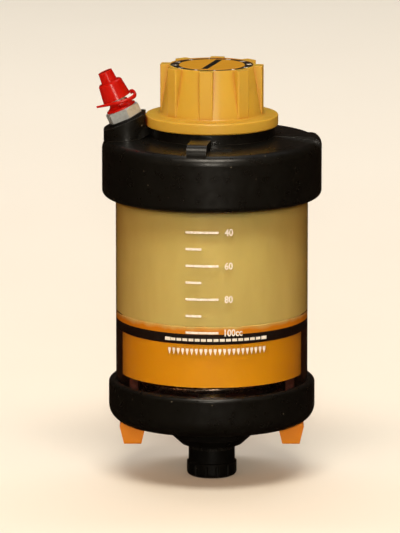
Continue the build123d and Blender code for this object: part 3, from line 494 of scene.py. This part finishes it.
class Finishes:
    """Every finish of the object, built once, and the CAD nodes that wear each."""

    def __init__(self) -> None:
        self.nylon = DustyBlack("black_nylon", "#090806", "#34302A", 0.31, 0.34).build()
        # painted shade: a darker, less glossy copy of the housing's nylon for the outlet adapter, kept dim
        # under the front flash
        self.adapter = DustyBlack("black_nylon_shaded_copy", "#060605", "#24221E", 0.36, 0.24).build()
        # the knob's recesses get painted shade in deep orange-red
        self.knob = MouldedPlastic("orange_abs", "#C29C34", "#E8BC6C", 0.36, subsurface=0.2, tone=0.08,
                                   recess_shade_colour="#B04A10").build()
        # painted shade: a darker, more orange, less glossy copy of the knob's plastic for the top disc, so
        # the top reads darker under the overhead lamp
        self.shaded_top = MouldedPlastic(
            "orange_abs_shaded_top", "#C6901E", "#E8BC70", 0.42, tone=0.08, specular=0.2).build()
        self.piston = MouldedPlastic("orange_acetal", "#B28E0C", "#D09A40", 0.50, subsurface=0.15, tone=0.10,
                                     specular=0.22).build()
        self.crown = WettedCrown("wetted_acetal", "#C08C14", "#BCC07A").build()
        # the seat's upper fingers get painted shade in dark reddish brown
        self.lugs = SeatPlastic("orange_acetal_seat", "#DE860A", "#3A1408").build()
        self.clear = ClearPlastic("clear_polycarbonate", "#EFA45C", 300.0).build()
        self.grease = Grease("tan_grease", "#BACA82", "#B2C07A").build()
        self.rubber = Rubber("nitrile_rubber", "#060505").build()
        self.spring = Metal("spring_wire", "#7E7A72", "#3C3830", 0.24).build()
        self.brass = Metal("turned_brass", "#C9A659", "#8F6A2E", 0.28).build()
        self.zinc = Metal("zinc_plate", "#DCE8EE", "#B0BABE", 0.33, metallic=0.68).build()
        self.red = MouldedPlastic("red_polyethylene", "#AE0E05", "#C83C2E", 0.22, subsurface=0.1, tone=0.16,
                                  specular=0.24).build()
        self.dial = MouldedPlastic("black_polycarbonate", "#15130F", "#4A463E", 0.35).build()
        self.white = Ink("white_ink", "#E2E1DC", "#C6C2B4").build()

    def dress(self, nodes: dict[str, bpy.types.Object]) -> None:
        """Give each CAD node its finish."""
        worn = {
            "outlet_adapter": self.adapter, "tie_tube": self.brass, "outlet_check_ball": self.spring,
            "outlet_check_spring": self.spring, "lower_cap": self.nylon, "spring_seat": self.lugs,
            "main_spring": self.spring, "reservoir": self.clear, "scale_print": self.white,
            "piston": self.piston, "piston_seal": self.rubber, "piston_hub_ring": self.rubber,
            "grease_fill": self.grease, "top_housing": self.nylon, "reservoir_top_ring": self.rubber,
            "metering_stem": self.brass, "stem_ring": self.rubber, "stem_gland": self.brass,
            "control_knob": self.knob, "knob_clip": self.spring, "dial_ring": self.dial,
            "knob_disc": self.shaded_top, "pointer_bar": self.dial, "nipple_washer": self.rubber,
            "nipple_body": self.zinc, "nipple_ball": self.spring, "nipple_spring": self.spring,
            "nipple_cap": self.red, "cap_cord": self.red,
        }
        for name, node in nodes.items():
            if not node.material_slots:
                node.data.materials.append(worn[name])
            for place in node.material_slots:
                place.material = worn[name]
        nodes["reservoir"].visible_shadow = False  # lets the lamps reach what is behind the clear wall


# ------------------------------------------------------------------ mesh building
def make_piece(name: str, mesh: bpy.types.Mesh, finish: bpy.types.Material,
               smooth_deg: float = 40.0) -> bpy.types.Object:
    """Put a mesh in the scene as a piece with smooth faces and sharp edges.

    Args:
        name: Name of the piece.
        mesh: Its mesh, in metres.
        finish: Its material.
        smooth_deg: Edges that turn by more than this stay sharp.

    Returns:
        The new object.
    """
    piece = bpy.data.objects.new(name, mesh)
    bpy.context.scene.collection.objects.link(piece)
    mesh.materials.clear()
    mesh.materials.append(finish)
    for face in mesh.polygons:
        face.use_smooth = True
    mesh.set_sharp_from_angle(angle=math.radians(smooth_deg))
    return piece


def lathe(profile: Sequence[tuple[float, float]], steps: int = 128) -> bpy.types.Mesh:
    """Revolve a closed profile round the Z axis.

    Args:
        profile: Points as radius and height, in mm, counter-clockwise.
        steps: Segments of the turn.

    Returns:
        A closed mesh in metres.
    """
    mesh = bpy.data.meshes.new("lathe")
    shape = bmesh.new()
    rings = []
    for step in range(steps):
        turn = 2 * math.pi * step / steps
        rings.append([shape.verts.new((r * MM * math.sin(turn), -r * MM * math.cos(turn), z * MM))
                      for r, z in profile])
    for step, ring in enumerate(rings):
        after = rings[(step + 1) % steps]
        for i in range(len(profile)):
            j = (i + 1) % len(profile)
            shape.faces.new((ring[i], after[i], after[j], ring[j]))
    bmesh.ops.recalc_face_normals(shape, faces=shape.faces)
    shape.to_mesh(mesh)
    shape.free()
    return mesh


def skin(name: str, rings: Sequence[Sequence[Vector]], outward: bool = False) -> bpy.types.Mesh:
    """Close a row of rings of points into a solid with end caps.

    Args:
        name: Name of the mesh.
        rings: Rings with as many points each, in metres.
        outward: Turn all faces outward afterwards.

    Returns:
        A closed mesh in metres.
    """
    mesh = bpy.data.meshes.new(name)
    shape = bmesh.new()
    rows = [[shape.verts.new(point) for point in ring] for ring in rings]
    for row, after in zip(rows, rows[1:]):
        for k in range(len(row)):
            m = (k + 1) % len(row)
            shape.faces.new((row[k], row[m], after[m], after[k]))
    shape.faces.new(reversed(rows[0]))
    shape.faces.new(rows[-1])
    if outward:
        bmesh.ops.recalc_face_normals(shape, faces=shape.faces)
    shape.to_mesh(mesh)
    shape.free()
    return mesh


def tube_along(points: Sequence[Vector], radius: float, sides: int = 12) -> bpy.types.Mesh:
    """Sweep a circle along points with end caps, keeping its twist low.

    Args:
        points: Centres, in metres.
        radius: Radius of the circle, in metres.
        sides: Sides of the circle.

    Returns:
        A closed mesh in metres.
    """
    ahead = (points[1] - points[0]).normalized()
    side = ahead.orthogonal().normalized()
    rings = []
    for i, centre in enumerate(points):
        before, after = points[max(i - 1, 0)], points[min(i + 1, len(points) - 1)]
        ahead = (after - before).normalized()
        side = (side - ahead * side.dot(ahead)).normalized()
        up = ahead.cross(side)
        rings.append([centre + radius * (math.cos(t) * side + math.sin(t) * up)
                      for t in (2 * math.pi * k / sides for k in range(sides))])
    return skin("tube", rings)


def smooth_path(stops: Sequence[Vector], steps: int) -> list[Vector]:
    """Curve through stops with even tangents, with steps points for each stretch."""
    ends = [stops[0] * 2 - stops[1], *stops, stops[-1] * 2 - stops[-2]]
    path = []
    for i in range(1, len(ends) - 2):
        a, b, c, d = ends[i - 1:i + 3]
        for k in range(steps):
            t = k / steps
            path.append(0.5 * (2 * b + (c - a) * t + (2 * a - 5 * b + 4 * c - d) * t ** 2
                               + (3 * b - a - 3 * c + d) * t ** 3))
    path.append(stops[-1])
    return path


def ribbon_along(path: Sequence[Vector], wide: float, thick: float, tail: float,
                 sides: int = 16) -> bpy.types.Mesh:
    """Sweep a flattened round section along a path that winds about the Z axis, its flat side facing outward.

    Args:
        path: Centres, in metres.
        wide: Half width along the Z axis, in metres.
        thick: Half thickness away from the Z axis, in metres.
        tail: Share of the section that is left at the last point.
        sides: Sides of the section.

    Returns:
        A closed mesh in metres.
    """
    rings = []
    for i, centre in enumerate(path):
        before, after = path[max(i - 1, 0)], path[min(i + 1, len(path) - 1)]
        ahead = (after - before).normalized()
        up = (Vector((0, 0, 1)) - ahead * ahead.z).normalized()
        out = ahead.cross(up)
        share = 1 - (1 - tail) * (i / (len(path) - 1)) ** 2
        rings.append([centre + share * (thick * math.cos(t) * out + wide * math.sin(t) * up)
                      for t in (2 * math.pi * k / sides for k in range(sides))])
    return skin("ribbon", rings, outward=True)


@dataclass(frozen=True)
class Bend:
    """Wraps flat print round the reservoir: across becomes an angle, up becomes a height."""

    radius_mm: float
    ink_mm: float = 0.04
    lift_mm: float = 0.05

    def point(self, angle_deg: float, height_mm: float, lift_mm: float = 0.0) -> Vector:
        """Point on the cylinder at an angle from the front towards +X."""
        turn = math.radians(angle_deg)
        reach = (self.radius_mm + lift_mm) * MM
        return Vector((reach * math.sin(turn), -reach * math.cos(turn), height_mm * MM))

    def text(self, body: str, angle_deg: float, height_mm: float, tall_mm: float, wide: float,
             bold_mm: float) -> bpy.types.Mesh:
        """Plain figures wrapped round the cylinder.

        Args:
            body: The figures.
            angle_deg: Angle of their left end.
            height_mm: Height of their middle.
            tall_mm: Their height.
            wide: Stretch across.
            bold_mm: How much each stroke is widened.

        Returns:
            A mesh in metres.
        """
        mesh = text_mesh(body, tall_mm, wide, bold_mm, self.ink_mm)
        low = min(v.co.x for v in mesh.vertices)
        for vertex in mesh.vertices:
            x, y, z = vertex.co / MM
            angle = angle_deg + math.degrees((x - low / MM) / self.radius_mm)
            vertex.co = self.point(angle, height_mm + y, self.lift_mm + z)
        return mesh


def text_mesh(body: str, tall_mm: float, wide: float, bold_mm: float, thick_mm: float) -> bpy.types.Mesh:
    """Flat figures, centred, as a mesh in metres."""
    curve = bpy.data.curves.new("figures", "FONT")
    curve.body = body
    curve.size = tall_mm * FONT_PER_FIGURE * MM
    curve.offset = bold_mm * MM
    curve.extrude = thick_mm / 2 * MM
    curve.resolution_u = 3
    curve.align_x = "CENTER"
    curve.align_y = "CENTER"
    holder = bpy.data.objects.new("figures", curve)
    bpy.context.scene.collection.objects.link(holder)
    bpy.context.view_layer.update()
    mesh = bpy.data.meshes.new_from_object(holder.evaluated_get(bpy.context.evaluated_depsgraph_get()))
    bpy.data.objects.remove(holder)
    shape = bmesh.new()
    shape.from_mesh(mesh)
    cuts = [edge for edge in shape.edges if edge.calc_length() > LONG_EDGE_MM * MM]
    bmesh.ops.subdivide_edges(shape, edges=cuts, cuts=1)
    bmesh.ops.triangulate(shape, faces=shape.faces)
    shape.to_mesh(mesh)
    shape.free()
    ys = [v.co.y for v in mesh.vertices]
    middle = (min(ys) + max(ys)) / 2
    for vertex in mesh.vertices:
        vertex.co.x *= wide
        vertex.co.y -= middle
    return mesh


# ------------------------------------------------------------------ frame in millimetres
class Levels:
    """Heights and radii read from the CAD nodes' boxes, in mm."""

    RUN_GAP = 0.05          # between the seal and the bore
    MARK_UNDER_CROWN = 1.6  # from the piston's crown down to the 100 cc mark, when full

    def __init__(self) -> None:
        self.bore_r = self._wide("piston_seal") + self.RUN_GAP
        self.tube_r = self._wide("reservoir")
        self.seal_low = self._low("piston_seal")
        self.seal_high = self._high("piston_seal")
        self.crown = self._high("piston")
        self.ceiling = self._high("grease_fill")
        self.spring_low = self._low("main_spring")
        self.spring_high = self._high("main_spring")
        self.dial_top = self._high("dial_ring")
        self.dial_r = self._wide("dial_ring")
        self.disc_r = self._wide("knob_disc")
        self.full_mark = self.crown - self.MARK_UNDER_CROWN

    @staticmethod
    def _low(node: str) -> float:
        """Foot of a node's box."""
        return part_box(node)[0][2] / MM

    @staticmethod
    def _high(node: str) -> float:
        """Top of a node's box."""
        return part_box(node)[1][2] / MM

    @staticmethod
    def _wide(node: str) -> float:
        """Reach of a node's box to the right, its radius when it is round."""
        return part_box(node)[1][0] / MM


# ------------------------------------------------------------------ sub-assemblies
@dataclass
class Print:
    """White print on the reservoir: plain figures and a row of small wedges under the limit line."""

    levels: Levels
    finish: bpy.types.Material
    rise_mm: float = 9.65
    figures: tuple[str, ...] = ("100cc", "80", "60", "40")
    figures_from_deg: float = 7.4
    tall_mm: float = 2.0
    wide: float = 0.86
    bold_mm: float = 0.07
    wedges: int = 22
    wedge_from_deg: float = -27.0
    wedge_to_deg: float = 34.0
    wedge_drop_mm: float = 0.95
    wedge_lifts_mm: tuple[float, float] = (0.09, 0.03)
    wedge_outline: tuple[tuple[float, float], ...] = (  # share of the pitch across, and mm up
        (0.1, 0.0), (0.72, 0.0), (0.72, -0.6), (0.41, -1.9), (0.1, -0.6))

    def build(self) -> None:
        """Make the print and let it ride on the reservoir's body."""
        bend = Bend(self.levels.tube_r)
        for step, body in enumerate(self.figures):
            height = self.levels.full_mark + step * self.rise_mm
            mesh = bend.text(body, self.figures_from_deg, height, self.tall_mm, self.wide, self.bold_mm)
            self._place(f"figures_{body}", mesh)
        self._place("limit_wedges", self._wedge_row(bend))

    def _wedge_row(self, bend: Bend) -> bpy.types.Mesh:
        """Row of small pointed marks that point down from the limit line."""
        mesh = bpy.data.meshes.new("limit_wedges")
        shape = bmesh.new()
        pitch = (self.wedge_to_deg - self.wedge_from_deg) / self.wedges
        top = self.levels.seal_low - self.wedge_drop_mm
        for i in range(self.wedges):
            left = self.wedge_from_deg + i * pitch
            front, back = ([shape.verts.new(bend.point(left + u * pitch, top + v, lift))
                            for u, v in self.wedge_outline] for lift in self.wedge_lifts_mm)
            shape.faces.new(reversed(front))
            shape.faces.new(back)
            for k in range(len(front)):
                m = (k + 1) % len(front)
                shape.faces.new((front[k], front[m], back[m], back[k]))
        bmesh.ops.recalc_face_normals(shape, faces=shape.faces)
        shape.to_mesh(mesh)
        shape.free()
        return mesh

    def _place(self, name: str, mesh: bpy.types.Mesh) -> None:
        """Put print on the body of the whole."""
        piece = make_piece(name, mesh, self.finish)
        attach(piece, Body.ROOT.value)


@dataclass
class Charge:
    """What wets the clear wall: the grease above the piston and the piston's seal."""

    levels: Levels
    grease: bpy.types.Material
    rubber: bpy.types.Material
    crown: bpy.types.Material
    wet_mm: float = 0.02
    tie_r: float = 4.2
    well_r: float = 10.2
    well_deep: float = 7.5
    dish_r: tuple[float, float] = (20.9, 23.2)
    dish_deep: float = 2.6
    crown_gap: float = 0.06
    gland_r: float = 9.7
    gland_deep: float = 7.2
    ring_in_r: float = 22.9
    edge: float = 0.3

    def build(self) -> None:
        """Make grease and seal in place of their CAD nodes, and the film on the crown's rim."""
        lv = self.levels
        reach = lv.bore_r + self.wet_mm
        well, dish, foot = lv.crown - self.well_deep, lv.crown - self.dish_deep, lv.crown + self.crown_gap
        roof = lv.ceiling - self.gland_deep
        fill = make_piece("grease_charge", lathe([
            (self.tie_r, well), (self.well_r, well), (self.well_r, dish), (self.dish_r[0], dish),
            (self.dish_r[1], foot), (reach, foot), (reach, lv.ceiling), (self.gland_r, lv.ceiling),
            (self.gland_r, roof), (self.tie_r, roof)]), self.grease)
        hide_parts("grease_fill")
        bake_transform(fill)
        low, high, edge = lv.seal_low, lv.seal_high, self.edge
        seal = make_piece("wiper_seal", lathe([
            (self.ring_in_r, low), (reach - edge, low), (reach, low + edge), (reach, high - edge),
            (reach - edge, high), (self.ring_in_r, high)]), self.rubber)
        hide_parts("piston_seal")
        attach(seal, Body.PISTON.value)
        film = make_piece("crown_film", lathe([
            (reach - edge, high + self.wet_mm), (reach, high + self.wet_mm), (reach, lv.crown - edge),
            (reach - edge, lv.crown)]), self.crown)
        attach(film, Body.PISTON.value)


@dataclass
class Dial:
    """White figures on the black ring of the control knob."""

    levels: Levels
    finish: bpy.types.Material
    figures: int = 12
    turn_deg: float = 4.0
    tall_mm: float = 1.35
    wide: float = 0.9
    bold_mm: float = 0.03
    ink_mm: float = 0.05
    lift_mm: float = 0.03

    def build(self) -> None:
        """Make the figures."""
        lv = self.levels
        middle = (lv.dial_r + lv.disc_r) / 2
        for i in range(self.figures):
            mesh = text_mesh(str(i + 1), self.tall_mm, self.wide, self.bold_mm, self.ink_mm)
            angle = self.turn_deg + 360 * i / self.figures
            place = (Matrix.Translation((0, 0, (lv.dial_top + self.lift_mm) * MM))
                     @ Matrix.Rotation(math.radians(angle), 4, "Z")
                     @ Matrix.Translation((0, middle * MM, 0)))
            mesh.transform(place)
            piece = make_piece(f"dial_figure_{i + 1}", mesh, self.finish)
            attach(piece, Body.DIAL.value)


@dataclass
class Coil:
    """Round-wire spring, made as a fixed coil from foot to top.

    Foot and top are the ends of the wire's centre line on the spring's axis, in mm.
    """

    name: str
    node: str
    body: Body
    foot: Vector
    top: Vector
    radius: float
    wire: float
    turns: float
    finish: bpy.types.Material
    steps_per_turn: int = 48

    def build(self) -> None:
        """Make the coil in place of the CAD one."""
        along = self.top - self.foot
        turn_up = Vector((0, 0, 1)).rotation_difference(along)
        steps = int(self.turns * self.steps_per_turn)
        points = []
        for i in range(steps + 1):
            turn = 2 * math.pi * self.turns * i / steps
            out = turn_up @ Vector((self.radius * math.cos(turn), self.radius * math.sin(turn), 0))
            points.append((self.foot + along * (i / steps) + out) * MM)
        coil = make_piece(self.name, tube_along(points, self.wire * MM), self.finish)
        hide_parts(self.node)
        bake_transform(coil)


@dataclass
class Springs:
    """Main spring and the small springs behind the two check balls."""

    levels: Levels
    finish: bpy.types.Material
    main: tuple[float, float, float] = (19.6, 1.2, 5.0)  # radius, wire's radius, turns
    outlet: tuple[float, float, float] = (1.8, 0.2, 5.0)
    outlet_ends: tuple[float, float] = (7.42, 14.4)
    nipple: tuple[float, float, float] = (1.1, 0.15, 8.0)
    nipple_ends: tuple[float, float] = (-4.35, 7.69)
    small_steps: int = 24

    def build(self) -> None:
        """Make the three coils."""
        up = Vector((0, 0, 1))
        low, high = self.levels.spring_low + self.main[1], self.levels.spring_high - self.main[1]
        origin, tilt = Vector(NIPPLE_ORIGIN), math.radians(NIPPLE_TILT_DEG)
        lean = Vector((-math.sin(tilt), 0, math.cos(tilt)))
        nipple_low, nipple_high = (origin + lean * end for end in self.nipple_ends)
        outlet_low, outlet_high = (up * end for end in self.outlet_ends)
        for coil in (
            Coil("main_coil", "main_spring", Body.PISTON, up * low, up * high, *self.main, self.finish),
            Coil("outlet_coil", "outlet_check_spring", Body.OUTLET_BALL, outlet_low, outlet_high,
                 *self.outlet, self.finish, self.small_steps),
            Coil("nipple_coil", "nipple_spring", Body.INLET_BALL, nipple_low, nipple_high,
                 *self.nipple, self.finish, self.small_steps),
        ):
            coil.build()


@dataclass
class CapKeeper:
    """Ring on the nipple's neck and the flat strap that holds the dust cap, ending in a pull tail.

    Its points are offsets in mm from the nipple's axis: to the right, to the front, and along it.
    """

    finish: bpy.types.Material
    mouth: float = 6.7
    ring_foot: float = 3.55
    ring: tuple[tuple[float, float], ...] = (
        (2.4, 0.0), (4.3, 0.0), (4.36, 0.2), (4.25, 0.42), (3.7, 0.7), (3.15, 1.15), (2.8, 1.7), (2.7, 2.2),
        (2.4, 2.25))
    route: tuple[tuple[float, float, float], ...] = (
        (4.2, 0.4, 0.15), (4.85, 0.5, 0.1), (5.3, 1.1, -0.2), (5.4, 2.1, -0.7), (4.9, 3.3, -1.05),
        (3.6, 4.3, -1.1), (1.6, 4.75, -0.9), (-0.9, 4.75, -0.5), (-3.0, 4.2, -0.15), (-4.8, 3.2, 0.05),
        (-6.1, 2.3, 0.2))
    link: tuple[tuple[float, float, float], ...] = ((0.0, 2.3, -2.4), (0.3, 3.6, -1.6), (0.5, 4.7, -0.95))
    stretch: tuple[float, float] = (-2.3, -1.2)
    wide: float = 0.66
    thick: float = 0.42
    tail: float = 0.45

    def build(self) -> None:
        """Make the ring on the nipple, the strap on the cap and a fixed link between them."""
        turn = Matrix.Rotation(-math.radians(NIPPLE_TILT_DEG), 4, "Y")
        base = Vector(NIPPLE_ORIGIN) * MM
        pieces = {}
        for name, mesh in (
            ("keeper_ring", lathe([(r, self.ring_foot + z) for r, z in self.ring], 64)),
            ("keeper_strap", self._strap(self.route, self.tail)),
            ("keeper_link", self._strap(self.link, 1.0)),
        ):
            mesh.transform(Matrix.Translation(base) @ turn)
            pieces[name] = make_piece(name, mesh, self.finish, 50.0)
            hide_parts("cap_cord")
        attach(pieces["keeper_ring"], Body.ROOT.value)
        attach(pieces["keeper_strap"], Body.DUST_CAP.value)
        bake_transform(pieces["keeper_link"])

    def _strap(self, points: Sequence[tuple[float, float, float]], tail: float) -> bpy.types.Mesh:
        """Flat strap through points, thinning to the share tail of its section at the last one."""
        stops = [Vector((side, -front, self.mouth + along)) * MM for side, front, along in points]
        path = smooth_path(stops, 8)
        return ribbon_along(path, self.wide * MM, self.thick * MM, tail)


# ------------------------------------------------------------------ studio
@dataclass
class Softbox:
    """Rectangular studio light."""

    name: str
    place: tuple[float, float, float]
    aim: tuple[float, float, float]
    size: tuple[float, float]
    watts: float
    colour: str = "#FFFFFF"
    gloss: bool = True
    spare: tuple[str, ...] = ()

    def build(self) -> None:
        """Hang the light and turn it to its aim; it leaves the spared objects unlit."""
        light = bpy.data.lights.new(self.name, "AREA")
        light.shape = "RECTANGLE"
        light.size, light.size_y = self.size
        light.energy = self.watts
        light.color = srgb(self.colour)[:3]
        holder = bpy.data.objects.new(self.name, light)
        holder.location = self.place
        holder.visible_glossy = self.gloss
        aim = Vector(self.aim) - Vector(self.place)
        holder.rotation_euler = aim.to_track_quat("-Z", "Y").to_euler()
        bpy.context.scene.collection.objects.link(holder)
        if self.spare:
            spared = bpy.data.collections.new(f"{self.name}_spares")
            holder.light_linking.receiver_collection = spared
            for name in self.spare:
                spared.objects.link(bpy.data.objects[name])
            for member in spared.collection_objects:
                member.light_linking.link_state = "EXCLUDE"


@dataclass
class Surround:
    """Dark warm wall and floor round the object that only reflections and refractions see.

    It keeps the edges of the clear tube and of the glossy black parts dark, and casts no shade on the
    pale floor.
    """

    radius: float = 0.11
    tall: float = 0.42
    open_deg: float = 65.0
    reach: float = 1.3
    lift: float = 0.0004
    steps: int = 48
    colour: str = "#1A120B"
    mottle: str = "#20160D"

    def build(self) -> None:
        """Stand the wall up behind and beside the object and lay the floor."""
        mesh = bpy.data.meshes.new("surround")
        shape = bmesh.new()
        foot, head = [], []
        for i in range(self.steps + 1):
            turn = math.radians(self.open_deg + (360 - 2 * self.open_deg) * i / self.steps)
            x, y = self.radius * math.sin(turn), -self.radius * math.cos(turn)
            foot.append(shape.verts.new((x, y, self.lift + 0.0001)))
            head.append(shape.verts.new((x, y, self.tall)))
        for i in range(self.steps):
            shape.faces.new((foot[i], foot[i + 1], head[i + 1], head[i]))
        corners = [(-self.reach, -self.reach), (self.reach, -self.reach), (self.reach, self.reach),
                   (-self.reach, self.reach)]
        shape.faces.new([shape.verts.new((x, y, self.lift)) for x, y in corners])
        shape.to_mesh(mesh)
        shape.free()
        g = Graph("dark_felt")
        g.set(Base_Color=g.mix(g.noise(60.0), srgb(self.colour), srgb(self.mottle)), Roughness=0.95,
              Specular_IOR_Level=0.1)
        wall = make_piece("surround", mesh, g.material)
        wall.visible_camera = False
        wall.visible_diffuse = False
        wall.visible_shadow = False


@dataclass
class Studio:
    """Pale floor that curves up all round, soft light and the camera."""

    elevation_deg: float = 11.2
    distance: float = 1.6
    aim: tuple[float, float, float] = (-0.0034, 0.0, 0.0612)
    lens_mm: float = 375.6
    floor_r: float = 4.8
    cove_r: float = 0.8
    wall_tall: float = 2.4
    lights: list[Softbox] = field(default_factory=lambda: [
        Softbox("flash", (0.0, -1.45, 0.38), (0, 0, 0.07), (0.06, 0.06), 4.8, "#FFF6E6", spare=LEVEL_TOPS),
        Softbox("fill", (0.0, -1.35, 0.60), (0, 0, 0.07), (0.40, 0.36), 3.4, "#FFF4E2", spare=LEVEL_TOPS),
        Softbox("strip", (0.0, -0.58, 1.05), (0, 0, 0.08), (0.56, 0.34), 9.5, "#FFF4E2"),
        Softbox("side_left", (-0.74, -0.52, 0.40), (0, 0, 0.07), (0.4, 0.3), 2.4, "#FFBC84", False),
        Softbox("side_right", (0.74, -0.52, 0.40), (0, 0, 0.07), (0.4, 0.3), 1.8, "#FFBC84", False),
        Softbox("back", (0.0, 0.85, 0.95), (0, 0, 0.07), (1.3, 0.9), 2.4),
        Softbox("back_left", (-0.85, 0.80, 0.50), (0, 0, 0.07), (0.4, 0.3), 1.5, "#FFE6C8", False),
        Softbox("back_right", (0.85, 0.80, 0.50), (0, 0, 0.07), (0.4, 0.3), 1.5, "#FFE6C8", False),
        Softbox("backdrop", (0.0, 0.45, 1.30), (0, 1.5, 0.25), (1.2, 0.5), 9.0),
    ])

    def build(self) -> None:
        """Make floor, lights, world and camera."""
        self._floor()
        for light in self.lights:
            light.build()
        Surround().build()
        self._world()
        self._camera()
        bpy.context.scene.view_settings.view_transform = "Standard"

    def _floor(self) -> None:
        """Round floor that curves up into a low wall all the way round, far from the object."""
        profile = [(0.4, 0.0), (self.floor_r - self.cove_r, 0.0)]
        for i in range(1, 13):
            turn = math.radians(90 * i / 12)
            profile.append((self.floor_r - self.cove_r * (1 - math.sin(turn)),
                            self.cove_r * (1 - math.cos(turn))))
        profile.append((self.floor_r, self.wall_tall))
        steps = 96
        mesh = bpy.data.meshes.new("sweep")
        shape = bmesh.new()
        rings = []
        for r, z in profile:
            turns = (2 * math.pi * i / steps for i in range(steps))
            rings.append([shape.verts.new((r * math.cos(t), r * math.sin(t), z)) for t in turns])
        shape.faces.new(rings[0])
        for low, high in zip(rings, rings[1:]):
            for i in range(steps):
                k = (i + 1) % steps
                shape.faces.new((low[i], high[i], high[k], low[k]))
        shape.to_mesh(mesh)
        shape.free()
        g = Graph("pale_paper")
        g.set(Base_Color=g.mix(g.noise(180.0, 2.0), srgb("#E9E5DC"), srgb("#EDEAE2")), Roughness=0.95,
              Specular_IOR_Level=0.0)
        make_piece("sweep", mesh, g.material)

    @staticmethod
    def _world() -> None:
        """Even dim surroundings."""
        world = bpy.data.worlds.new("surroundings")
        world.use_nodes = True
        background = world.node_tree.nodes["Background"]
        background.inputs["Color"].default_value = srgb("#E8DCC6")
        background.inputs["Strength"].default_value = 0.2
        bpy.context.scene.world = world

    def _camera(self) -> None:
        """Camera in front of the object, aimed at its middle."""
        camera = bpy.data.cameras.new("camera")
        camera.lens = self.lens_mm
        camera.sensor_width = 36.0
        camera.clip_start = 0.01
        camera.clip_end = 20.0
        holder = bpy.data.objects.new("camera", camera)
        rise = math.radians(self.elevation_deg)
        aim = Vector(self.aim)
        holder.location = aim + self.distance * Vector((0, -math.cos(rise), math.sin(rise)))
        holder.rotation_euler = (aim - holder.location).to_track_quat("-Z", "Y").to_euler()
        bpy.context.scene.collection.objects.link(holder)
        bpy.context.scene.camera = holder


# ------------------------------------------------------------------ the whole scene
def build_scene(nodes: dict[str, bpy.types.Object]) -> None:
    """Dress the CAD model, add the Blender pieces and light the studio."""
    finishes = Finishes()
    finishes.dress(nodes)
    levels = Levels()
    steps: list[tuple[str, Callable[[], None]]] = [
        ("print", Print(levels, finishes.white).build),
        ("charge", Charge(levels, finishes.grease, finishes.rubber, finishes.crown).build),
        ("dial", Dial(levels, finishes.white).build),
        ("springs", Springs(levels, finishes.spring).build),
        ("cap keeper", CapKeeper(finishes.red).build),
        ("studio", Studio().build),
    ]
    for name, step in steps:
        step()
        LOG.info("built %s", name)


def write_sizes() -> None:
    """Bring the view layer up to date."""
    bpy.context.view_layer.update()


def main() -> None:
    """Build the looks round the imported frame."""
    logging.basicConfig(level=logging.INFO)
    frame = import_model()
    build_scene(frame["nodes"])
    write_sizes()


if __name__ == "__main__":
    main()
